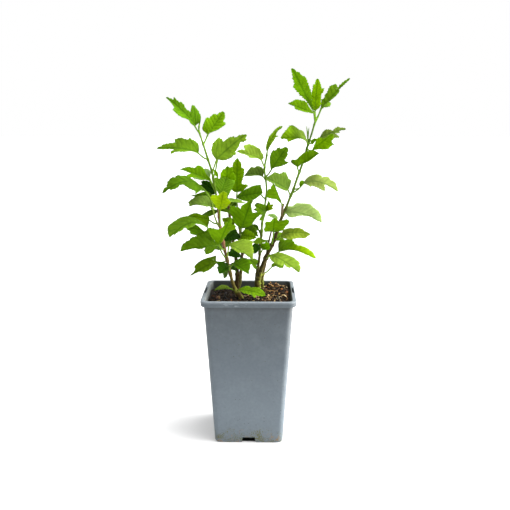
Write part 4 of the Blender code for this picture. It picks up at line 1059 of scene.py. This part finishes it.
leftStem = {
    "node": "stem_left", "foot": (-14.0, 0.0, 4.2),
    "canes": {
        "main": {"fork": None, "mossTo": 254, "knots": (
            (-14, 234, 0, 3.9), (-19, 240, 0, 3.3), (-24, 248, -1, 2.8), (-28, 259, -2, 2.5),
            (-31, 271, -3, 2.4), (-34, 285, -4, 2.3), (-38, 303, -5, 2.2), (-42, 320, -6, 2.2),
            (-45, 338, -7, 2.1), (-48, 355, -8, 1.9), (-50, 373, -8, 1.8), (-52, 394, -8, 1.7),
            (-56, 418, -8, 1.6), (-60, 441, -8, 1.6), (-66, 461, -8, 1.6), (-73, 484, -8, 1.4),
            (-79, 503, -8, 1.1), (-80, 513, -8, 0.9),
        ), "bark": ((235, "#66502e"), (246, "#5c5424"), (272, "#4f431f"), (300, "#4f4424"), (325, "#74503a"),
                  (365, "#6e4c38"), (385, "#5c5a28"), (405, "#465f10"), (450, "#55741a"), (515, "#64881f"))},
        "shoot": {"fork": "main", "knots": (
            (-49, 351, -8, 1.2), (-54, 362, -11, 1.2), (-58, 375, -14, 1.1), (-60, 388, -16, 1.1),
            (-63, 398, -17, 1.0), (-67, 405, -18, 1.0),
        ), "bark": ((350, "#6d7c34"), (405, "#6f9024"))},
    },
    "leaves": [
        leaf("main", 244, (-29.5, 247.1, 4), (-59.2, 244.6, 18), "dullLight", turn=40, arch=3, fold=0,
             edges=("14 2 62 3", "26 15 49 24 67 29 78 21")),
        leaf("main", 240, (-19.5, 246, -4), (27.4, 235.9, -24), "fresh", turn=42, arch=3, fold=14,
             edges=("26 18 33 19 48 13 54 16 69 19 78 18 91 12",
                    "35 16 49 17 57 21 60 14 70 24 77 27 76 19 74 15 91 9")),
        leaf("main", 272, (-35, 276, 6), (-43, 270, 30), "deep", turn=30, arch=2),
        leaf("main", 277, (-34.2, 287.1, -14), (-50.3, 273.1, -48), "deepest", turn=10, arch=2,
             edges=("36 12 56 17 71 11 86 11", "-8 11 70 42 74 29 86 26 94 14")),
        leaf("main", 285, (-26.8, 290.8, -20), (-0.8, 272.7, -50), "shade", turn=20,
             edges=("-1 11 20 30 33 36 62 44 80 40 81 30 89 22 93 12", "24 10 39 10 50 12 62 12 71 7 94 3")),
        leaf("main", 296, (-52.4, 293.6, -12), (-99.2, 268.5, -34), "deep", turn=30, arch=5, fold=0,
             edges=("8 5 24 11 37 15 50 16 64 15 66 10 75 5",
                    "4 7 15 14 -9 20 -10 25 8 24 21 28 37 28 61 24 71 21 76 18 76 11 85 5 94 4")),
        leaf("main", 300, (-33.4, 321.3, -12), (6.1, 297.3, -52), "light", turn=26, arch=5, fold=12,
             edges=("-6 6 6 11 15 18 28 32 37 36 50 39 69 39 70 32 86 19", "26 7 41 9 60 9 63 4 67 1 93 2")),
        leaf("main", 297, (-51, 320.1, -16), (-114.3, 310.8, -34), "deep", turn=26, arch=5, fold=14,
             edges=("27 22 37 25 45 25 44 18 45 12 40 4 48 6 58 5 65 1 97 1",
                    "1 7 10 14 16 25 18 36 24 43 33 42 51 37 57 34 57 30 72 27 71 24 80 22 90 17 95 11")),
        leaf("main", 314, (-50.1, 321.9, -30), (-30, 369.3, -52), "green", turn=4, arch=3,
             edges=("26 28 47 42 52 36 53 27 56 18 63 11 70 8 79 7 86 1",
                    "26 7 39 7 61 13 71 18 78 26 84 24 88 19 83 12 92 8")),
        leaf("main", 326, (-67.8, 350.2, -22), (-130.8, 333.5, -48), "moss", turn=46, arch=20, fold=0,
             edges=("11 6 40 5 49 12 58 14 65 12 66 7 73 10 79 10 83 6 90 6 92 1",
                    "-14 31 19 15 30 16 66 36 74 37 90 37 95 33 99 13")),
        leaf("main", 335, (-68.2, 342.5, 2), (-103.7, 350.1, 20), "mid", turn=34, arch=3,
             edges=("15 20 36 33 53 37 61 33 69 21 84 14", "23 1 37 6 53 15 69 19")),
        leaf("main", 352, (-47.8, 380.6, -30), (-41.9, 411, -62), "lime", turn=-6,
             edges=("16 10 44 22 74 40 83 40 90 35 90 28 84 20 89 12",
                    "21 14 41 21 53 23 62 29 69 30 79 15 95 14")),
        leaf("shoot", 357, (-65.2, 363, -4), (-100.7, 369.7, 18), "mid", arch=3,
             edges=("-6 15 -9 33 -1 35 13 27 35 19 62 18 84 11", "4 10 12 14 29 11 62 14 76 12 89 7")),
        leaf("main", 338, (-52, 339, 20), (-79, 337, 62), "mid", wide=0.7, turn=35),
        leaf("main", 420, (-64, 432, 14), (-88, 438, 48), "pale", turn=35, edges=("midLobe", "oval")),
        leaf("main", 430, (-50, 462, 12), (-25, 477, 50), "deep", turn=20),
        leaf("main", 368, (-48.7, 379.5, 16), (-77.5, 371.3, 42), "deep", turn=30, arch=5,
             edges=("12 17 25 21 36 26 53 21", "24 5 44 5 63 2")),
        leaf("shoot", 380, (-61.5, 382.7, -18), (-98, 385.3, -42), "dullDark", turn=35, arch=10,
             edges=("46 16 57 11 71 7 80 1", "-4 15 20 40 50 32 81 28 91 24 98 17 98 8")),
        leaf("shoot", 405, (-71.1, 410.9, -22), (-141.8, 406.2, -52), "deep", turn=52, arch=21, fold=0,
             edges=("12 14 21 20 43 41 45 41 42 34 47 31 53 25 63 8 66 7 76 11 86 7 86 4 90 2 96 3",
                    "29 1 33 7 36 16 41 20 47 24 55 23 62 26 68 25 67 21 76 26 86 21 87 16 89 14 89 10 "
                    "96 9")),
        leaf("main", 396, (-58.7, 402.2, 6), (-96.1, 403.2, 20), "deep", turn=30, arch=3,
             edges=("10 13 35 25 64 21 79 16 72 11", "16 12 31 17 76 2")),
        leaf("main", 400, (-53.8, 407.4, 16), (-77.9, 426.2, 34), "deepest", turn=15, arch=2,
             edges=("1 13 13 28 51 30 87 25 82 12", "11 10 38 27 77 17 92 9")),
        leaf("main", 394, (-45.7, 403.2, 6), (-36.3, 433.2, 20), "moss", turn=10, arch=3,
             edges=("5 13 22 28 68 60 81 51 80 32 90 18", "-6 20 -5 34 14 40 60 48 72 52 84 50 88 37 88 22")),
        leaf("main", 411, (-62.8, 426.4, -6), (-113, 445.6, -14), "green", turn=34, fold=18,
             edges=("28 10 39 12 48 12 67 24 75 25 76 17 70 10 68 4 75 4 83 1",
                    "5 7 15 10 25 15 32 24 40 30 49 31 56 27 62 17 81 14")),
        leaf("main", 441, (-52.7, 460.2, -14), (-4.3, 501.2, -34), "sunny", turn=30, arch=3, fold=16,
             edges=("1 17 6 25 22 34 37 37 43 36 46 30 46 24 48 21 61 20 68 18 73 14 75 10 89 7",
                    "9 5 33 22 50 23 57 26 61 26 61 20 72 17 82 9 93 16 96 12 95 8 99 5")),
        leaf("main", 461, (-80.9, 470.9, -14), (-149.2, 478.8, -34), "moss", turn=30, arch=8, fold=16,
             edges=("18 1 32 4 43 9 54 11 62 11 68 16 72 16 70 10 62 4 89 4 95 3",
                    "0 8 2 18 5 23 24 26 28 28 37 23 50 26 58 24 64 20 61 15 65 13 86 9 89 5 94 4")),
        leaf("main", 485, (-65.9, 500, -4), (-39.9, 535.8, 12), "green", turn=8, arch=2,
             edges=("3 21 7 27 19 31 45 37 52 34 53 28 70 25 76 20 78 13 85 12 98 5",
                    "10 1 17 5 37 21 65 32 70 27 70 19 85 16 98 5")),
        leaf("main", 503, (-86, 513.7, -12), (-131.9, 558, -24), "shade", turn=48, fold=28,
             edges=("11 17 20 23 25 17 29 15 46 32 66 40 72 41 73 22 78 19 88 6 94 1",
                    "0 13 3 21 8 26 23 32 37 36 43 35 42 28 36 15 48 12 61 16 67 16 72 12 82 13 86 12 "
                    "86 7 97 4")),
        leaf("main", 512, (-79, 517, -7), (-77, 532, -4), "moss", wide=0.5, turn=20, arch=1),
        leaf("main", 428, (-50.5, 433, -8), (-57.5, 446, -14), "green", turn=10, arch=1,
             edges=("25 15 55 21 80 14", "25 15 55 20 80 12")),
    ],
}

middleStem = {
    "node": "stem_middle", "foot": (-20.5, 42.0, 6.2),
    "canes": {
        "brown": {"fork": None, "knots": (
            (-21, 244, 42, 4.2), (-21, 256, 42, 3.6), (-20, 270, 43, 3.2), (-21, 290, 44, 2.9),
            (-24, 312, 45, 2.5), (-28, 335, 45, 2.2), (-31, 355, 45, 1.9), (-32, 372, 44, 1.7),
            (-34, 388, 42, 1.4), (-36, 400, 40, 1.1),
        ), "bark": ((240, "#3f3018"), (290, "#3c3018"), (330, "#4a3e1e"), (400, "#5a4c28"))},
        "olive": {"fork": "brown", "knots": (
            (-19, 247, 43, 3.4), (-16, 260, 46, 3.0), (-14, 277, 48, 2.6), (-12, 300, 50, 2.2),
            (-13, 325, 52, 2.0), (-16, 350, 53, 1.8), (-19, 375, 52, 1.5), (-20, 392, 50, 1.3),
            (-20, 402, 48, 1.1),
        ), "bark": ((245, "#686434"), (300, "#6f6a38"), (402, "#5c6a28"))},
        "snag": {"fork": "olive", "knots": (
            (-13, 297, 50, 1.9), (-11, 305, 45, 1.7), (-8, 310, 41, 1.5),
        ), "bark": ((297, "#4a3722"), (310, "#6a5236"))},
    },
    "leaves": [
        leaf("brown", 272, (-24, 284, 34), (-36, 284, 14), "deepest", wide=1.2, turn=20, arch=2),
        leaf("olive", 297, (-17, 309, 38), (-37, 304, 14), "deepest", wide=1.2, turn=15, arch=3,
             edges=("oval", "midLobe")),
        leaf("olive", 322, (-19, 342, 36), (-42, 329, 12), "deepest", wide=1.2, turn=10, arch=3,
             edges=("oval", "midLobe")),
        leaf("olive", 328, (-9, 345, 38), (15, 336, 14), "deep", wide=1.2, turn=35,
             edges=("midLobe", "oval")),
        leaf("brown", 312, (-30, 323, 60), (-54, 319, 104), "deep", turn=40),
        leaf("brown", 372, (-38, 384, 58), (-62, 393, 98), "deep", turn=35),
        leaf("olive", 314, (-11, 324, 70), (-4, 331, 112), "deep", turn=40),
        leaf("olive", 352, (-8, 362, 70), (0, 380, 110), "deep", turn=30),
        leaf("brown", 345, (-27, 353, 32), (-45, 367, 14), "shade", wide=1.2, turn=12, arch=2),
        leaf("olive", 326, (-12.5, 337.5, 24), (13.5, 333.5, 2), "green", wide=1.05, turn=16, arch=3),
        leaf("brown", 384, (-22, 397, 48), (-36, 379, 58), "deep", wide=1.1, turn=10, arch=2),
        leaf("brown", 370, (-33.5, 379, 40), (-50, 378.5, 24), "deep", wide=0.6, turn=20, arch=1),
        leaf("olive", 338, (-13, 349.1, 18), (4, 397.2, -4), "mid", turn=2, arch=3,
             edges=("6 10 18 23 44 42 57 50 68 48 72 40 72 29 68 22 79 20",
                    "11 10 23 18 37 25 52 29 65 34 80 42 78 31 71 23 69 14 87 4 98 5")),
        leaf("brown", 388, (-33.5, 398.5, 14), (-6, 391.5, -12), "light", wide=0.8, turn=70, arch=-3),
        leaf("olive", 388, (-20, 400.1, 32), (22.1, 407.8, 12), "shade", turn=20, arch=3,
             edges=("7 7 30 16 68 27 84 28 96 27", "11 8 47 25 63 28 80 19 95 7")),
        leaf("brown", 400, (-39, 412.3, 34), (-35.1, 451.2, 18), "bright", turn=-10, arch=3,
             edges=("18 12 37 22 55 28 65 26 78 26 84 20 90 17 91 9 96 6",
                    "4 14 22 24 41 31 58 34 73 30 82 22 91 20 96 14 92 10 97 7")),
        leaf("olive", 402, (-19.8, 408.8, 48), (-18.9, 464.4, 40), "bright", turn=6, arch=2,
             edges=("1 7 9 14 18 18 31 16 47 18 60 17 68 20 75 21 77 16 76 13 83 13 88 11",
                    "5 14 26 35 29 28 29 20 31 15 35 15 57 21 67 22 74 21 76 15 79 13 87 13")),
    ],
}

rightStem = {
    "node": "stem_right", "foot": (13.5, 36.0, 5.6),
    "canes": {
        "trunk": {"fork": None, "mossTo": 285, "knots": (
            (14, 246, 36, 5.5), (14, 254, 36, 5.0), (15, 263, 36, 4.4), (18, 274, 35, 3.6),
            (21, 285, 34, 3.3), (26, 297, 33, 3.2), (31, 309, 32, 3.1), (36, 320, 31, 3.0),
            (41, 332, 30, 2.8), (46, 346, 29, 2.7), (50, 360, 28, 2.6), (55, 373, 27, 2.6),
            (58.5, 381, 27, 2.3), (61.5, 388, 26, 1.8), (66, 400, 25, 1.7), (71, 412, 24, 1.7),
            (75.5, 426, 23, 1.7), (81, 442, 22, 1.7), (86, 456, 21, 1.6), (89.5, 466, 20, 1.6),
            (92, 478, 20, 1.5), (96, 491, 20, 1.4), (100, 504, 20, 1.3), (103, 515, 20, 1.2),
            (106, 524, 20, 1.1),
        ), "bark": ((246, "#57491e"), (262, "#5f5828"), (276, "#453c1e"), (330, "#3c3418"), (370, "#4a4420"),
                  (385, "#55651c"), (400, "#56721c"), (445, "#55741c"), (470, "#3f5c14"), (500, "#4a6a18"),
                  (524, "#5f8422"))},
        "stub": {"fork": "trunk", "knots": (
            (53, 370, 26, 2.1), (53.5, 380, 24, 1.9), (54.5, 390, 22, 1.7),
        ), "bark": ((372, "#6a5c3c"), (384, "#7a6850"), (388, "#6a4a3c"), (390, "#4a2626"))},
        "slim": {"fork": "trunk", "mossTo": 276, "knots": (
            (13, 256, 36, 3.6), (12, 265, 38, 2.9), (13, 276, 40, 2.5), (15, 290, 41, 2.2),
            (17, 305, 41, 2.0), (18, 322, 40, 1.9), (20, 340, 39, 1.8), (21, 357, 38, 1.7),
            (22, 372, 36, 1.6), (25, 385, 35, 1.5), (27, 400, 34, 1.4), (28, 413, 34, 1.4),
            (27, 427, 33, 1.4), (25, 441, 32, 1.4), (25, 451, 32, 1.4), (27, 461, 32, 1.4),
            (28.5, 469, 32, 1.3),
        ), "bark": ((256, "#4d451f"), (268, "#4f4a20"), (300, "#4c4a1e"), (330, "#50501f"), (350, "#65802a"),
                  (375, "#6c8a2e"), (400, "#5a7a1e"), (469, "#5f8220"))},
    },
    "leaves": [
        leaf("slim", 283, (11, 287, 28), (-1, 298, 6), "deep", turn=30, arch=2),
        leaf("slim", 310, (17.9, 319.5, 32), (6.7, 307.2, 10), "deepest", turn=12, arch=2,
             edges=("39 15 58 13 81 14 92 11", "-8 24 44 42 64 37 80 24 90 10")),
        leaf("slim", 308, (21.4, 314, 28), (34.4, 319.6, 12), "bright", turn=10, arch=2,
             edges=("5 20 19 38 46 43 70 38 86 40 97 35", "71 17 88 18 97 11")),
        leaf("slim", 322, (30.1, 329.4, 16), (4.5, 327, -8), "deep", turn=30,
             edges=("32 14 53 20 70 23 85 20 96 9", "39 1 60 12 69 14 88 4")),
        leaf("slim", 338, (15, 348, 44), (-3, 353, 54), "deep", turn=20, arch=2),
        leaf("slim", 357, (26.1, 376.9, 44), (9.3, 389.1, 60), "deep", turn=10, arch=2,
             edges=("9 10 29 22 47 35 73 42 65 12 85 8", "15 17 35 32 91 17")),
        leaf("slim", 366, (26, 377, 18), (8, 388, -8), "shade", wide=1.2, turn=6, arch=3,
             edges=("deep", "deep")),
        leaf("slim", 369, (27.3, 377.5, 30), (39.2, 388.6, 4), "lime", turn=10, arch=3,
             edges=("41 12 61 21 74 16 85 10 97 6", "45 7 76 15 90 17 87 7 95 5")),
        leaf("slim", 398, (19, 405, 42), (-4, 412, 60), "deep", turn=30, arch=2),
        leaf("slim", 430, (22.5, 433.8, 44), (-8.6, 434.1, 66), "dullDark", turn=30, arch=8,
             edges=("20 1 48 13 65 12", "3 20 8 31 15 35 26 38 37 36 44 30 58 34 79 11")),
        leaf("slim", 433, (35, 444, 26), (60.2, 481, 8), "shade", turn=6, arch=2, fold=12,
             edges=("27 18 43 26 54 30 65 31 70 30 71 25 84 22 87 18 86 13 97 5",
                    "10 1 19 5 29 11 40 21 69 36 65 22 66 19 85 18 87 14 93 12 99 7")),
        leaf("slim", 449, (20.1, 459.9, 26), (-20.2, 474.1, 6), "light", turn=34, fold=18,
             edges=("20 1 53 14 59 15 61 10 69 7 90 6",
                    "-8 13 -1 23 13 26 23 33 32 32 39 33 46 36 55 37 64 37 73 32 80 26 81 21 76 17 69 16 "
                    "75 12 86 10 94 6")),
        leaf("slim", 468, (28.5, 472.6, 32), (53.5, 513.7, 34), "fresh", turn=50, arch=6,
             edges=("13 7 41 13 53 14 67 11 79 11 89 9 96 6",
                    "12 11 22 14 46 19 57 19 61 17 65 29 65 12 74 3 84 1 91 9")),
        leaf("slim", 345, (4, 357, 58), (-10, 365, 98), "deep", turn=35),
        leaf("trunk", 414, (82.2, 416.6, 20), (89.2, 425.9, 22), "mid", turn=35,
             edges=("34 23 67 38 89 42 97 22", "22 33 46 42 66 46")),
        leaf("trunk", 300, (33, 305.5, 12), (83, 275.4, -18), "light", turn=34, arch=6, fold=6,
             edges=("29 20 48 24 67 25 86 22 88 17 94 14",
                    "8 8 17 14 28 18 39 19 50 19 59 17 59 8 67 11 75 9 78 2 93 2")),
        leaf("trunk", 303, (48.1, 310.7, 30), (109.9, 298.9, 8), "green", "lime", turn=30, arch=15.5, fold=4,
             edges=("-14 29 -18 40 -10 43 -2 41 7 35 15 38 24 38 35 29 47 17 54 15 74 17 91 13 94 8 99 5",
                    "7 3 18 4 32 1 71 1 79 3 84 1 91 2")),
        leaf("trunk", 322, (39.9, 342.9, 6), (41.2, 367.3, -32), "green", turn=6, fold=24,
             edges=("21 5 30 15 37 30 52 33 65 29 81 31 88 27 86 12 95 7",
                    "35 10 55 25 61 35 88 45 97 52 111 53 113 45 107 33 93 19 96 13 101 7")),
        leaf("trunk", 331, (51.1, 336.9, 20), (101, 340, 4), "light", turn=44, arch=7, fold=4,
             edges=("7 23 18 25 35 21 48 16 56 18 66 18 75 15 83 8 92 5",
                    "6 11 40 30 53 29 73 21 83 21 89 18 91 13")),
        leaf("trunk", 374, (59, 375.2, 20), (118.4, 359, -2), "pale", turn=40, arch=9.5, fold=0,
             edges=("-10 22 -4 25 8 24 15 22 11 32 16 40 32 40 60 37 67 32 77 31 85 28 92 20",
                    "18 17 29 18 44 10 54 6 64 4 68 1 82 1 90 3 92 1")),
        leaf("stub", 388, (52.9, 389.5, 8), (39.2, 423.4, -18), "mid", turn=4, arch=3, fold=10,
             edges=("43 12 61 36 67 40 75 34 84 30 90 24 88 16 95 10", "23 2 45 1 85 1 92 2")),
        leaf("trunk", 403, (63.1, 412.2, 20), (26.8, 432.1, 4), "dullLight", turn=26, arch=3, fold=16,
             edges=("11 9 25 13 62 16 68 8 75 12 82 9 89 11 96 6",
                    "1 22 4 38 21 37 33 44 43 48 54 46 58 39 64 34 72 35 80 32")),
        leaf("trunk", 407, (88.4, 423.6, 16), (144.1, 409.3, -2), "greyLight", turn=40, arch=12, fold=0,
             edges=("-4 8 -6 21 -2 30 12 27 24 26 37 27 45 25 49 20 55 26 62 30 69 29 74 23 81 23 87 20",
                    "8 8 30 20 32 16 53 19 68 23 71 20 68 11 64 4 68 1 77 3 79 1 91 2")),
        leaf("trunk", 441, (77.3, 449.1, 6), (112.6, 471.4, -14), "mid", turn=24, arch=3,
             edges=("-5 9 -14 21 -18 31 -12 35 -1 33 11 25 21 22 49 28 60 29 70 26 88 17",
                    "34 1 35 4 58 9 69 8")),
        leaf("trunk", 478, (100.4, 475.6, 12), (133.8, 501.6, -8), "bright", turn=14, arch=3, fold=10,
             edges=("34 13 44 20 55 20 59 14 66 8 75 4 86 5 95 4",
                    "31 13 58 32 78 30 86 32 83 24 84 18 92 14 98 7")),
        leaf("trunk", 485, (91.4, 491.3, 12), (49.4, 494.7, -10), "dullLight", "deep", "green", turn=24,
             arch=9, fold=-8,
             edges=("10 5 39 2 52 4 62 6 80 15 83 7 89 4 96 3",
                    "-7 16 -2 29 29 32 37 40 47 47 56 48 67 43 76 35 93 13")),
        leaf("trunk", 487, (98.6, 487.3, 10), (107.9, 494.3, -8), "green", turn=20, arch=2,
             edges=("28 11 57 13 83 12", "45 23 66 19 84 13 94 6")),
        leaf("trunk", 489, (92.6, 492, 27), (90.9, 514, 30), "fresh", turn=40, arch=1,
             edges=("20 4 55 5 85 3", "20 4 55 5 85 3")),
        leaf("trunk", 489, (94.2, 491, 25), (95.1, 512, 26), "green", turn=30, arch=1,
             edges=("20 4 55 6 85 3", "20 4 55 5 85 3")),
        leaf("trunk", 491, (108, 492.6, 30), (153.8, 509.3, 46), "dullDark", turn=30, fold=14,
             edges=("12 2 33 14 41 16 49 14 56 10 59 6 70 11 79 13 86 8 95 5",
                    "11 15 30 24 42 26 48 24 55 24 62 27 65 23 64 15 60 6 67 8 74 8 78 2 86 1 94 3")),
        leaf("trunk", 524, (103.1, 533.7, 16), (66.9, 602.9, 4), "green", turn=6, arch=3, fold=12,
             edges=("35 4 51 10 71 15 74 10 85 8 88 6 98 3", "26 5 44 12 70 15 76 15 81 11 89 8 90 5 94 4")),
        leaf("trunk", 522, (104.1, 536.1, 19), (107.1, 587, 15), "bright", turn=6, arch=2, fold=12,
             edges=("11 6 28 11 45 14 57 14 84 11 85 7 97 4",
                    "6 4 15 13 26 17 56 16 66 22 74 23 74 15 82 13 97 5")),
        leaf("trunk", 520, (102.4, 533.7, 13), (61, 548.9, 0), "green", turn=10, arch=3, fold=12,
             edges=("12 4 24 5 37 8 62 10 72 10 77 6 78 2 93 2", "31 14 43 22 54 25 77 22 84 18 88 12")),
        leaf("trunk", 524, (114, 540.7, 24), (158.4, 586.6, 40), "shade", turn=30, arch=3, fold=16,
             edges=("5 5 20 14 25 11 34 15 42 15 50 18 57 19 64 17 69 13 68 10 62 9 60 7 67 5 83 6 92 5 "
                    "98 3",
                    "4 4 10 2 21 2 27 5 46 8 58 7 63 4 64 1 94 1")),
        leaf("trunk", 516, (115, 545, 36), (128, 550, 56), "moss", turn=20, arch=2),
    ],
}

backStem = {
    "node": "stem_back", "foot": (20.8, 47.5, 3.6),
    "canes": {
        "main": {"fork": None, "mossTo": 280, "knots": (
            (21, 249, 47, 3.5), (21, 262, 47, 3.1), (22, 274, 47, 2.8), (25, 286, 48, 2.4),
            (28, 300, 49, 2.0), (30, 316, 50, 1.7), (33, 332, 51, 1.4), (37, 348, 52, 1.2),
            (41, 360, 52, 1.0),
        ), "bark": ((249, "#4c4020"), (262, "#5a5426"), (280, "#45391f"), (360, "#4d4425"))},
    },
    "leaves": [
        leaf("main", 273, (36.2, 284.2, 56), (57, 292.2, 74), "deep", turn=20, arch=3,
             edges=("11 16 26 19 56 9 86 4", "17 5 36 7 42 28 62 37 79 23")),
        leaf("main", 322, (40, 331, 60), (58, 339, 84), "deep", arch=3),
        leaf("main", 358, (45.5, 364.5, 56), (26, 371, 72), "greyLight", wide=0.8, turn=58, arch=3),
    ],
}


def makeStem(stem, finishes):
    # One piece for the canes with stalks and buds, and one for the blades, given their thickness.
    canes, blades = Patchwork(), Patchwork()
    for order, name in enumerate(stem["canes"]):
        addCane(canes, stem, name, 40 + order)
    for order, spec in enumerate(stem["leaves"]):
        blade = Blade(spec, f"{stem['node']} {order}")
        joint = caneAt(stem, spec["cane"], spec["node"])
        addStalk(canes, blade, joint)
        addBud(canes, joint, blade.base, order)
        addBlade(blades, blade, 100 + order * 7)
    caneSide, stalkSide, upperSide, lowerSide = finishes
    name = stem["node"].replace("stem_", "")
    woody = canes.piece(name + "Canes", [caneSide, stalkSide])
    leafy = blades.piece(name + "Leaves", [upperSide, lowerSide])
    wall = leafy.modifiers.new("bladeThickness", "SOLIDIFY")
    wall.thickness = leafShape["thick"] * mm
    wall.offset = 0
    wall.material_offset = 1
    wall.material_offset_rim = 1
    appliedMesh(leafy)
    standFor(woody, stem["node"], "leafy_stem")
    standFor(leafy, stem["node"], "leafy_stem")
    print(name, "stem is made:", len(leafy.data.polygons) + len(woody.data.polygons), "faces")


plantFinishes = caneFinish(), stalkFinish(), leafFinish(False), leafFinish(True)
for stem in (leftStem, middleStem, rightStem, backStem):
    makeStem(stem, plantFinishes)

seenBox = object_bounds()
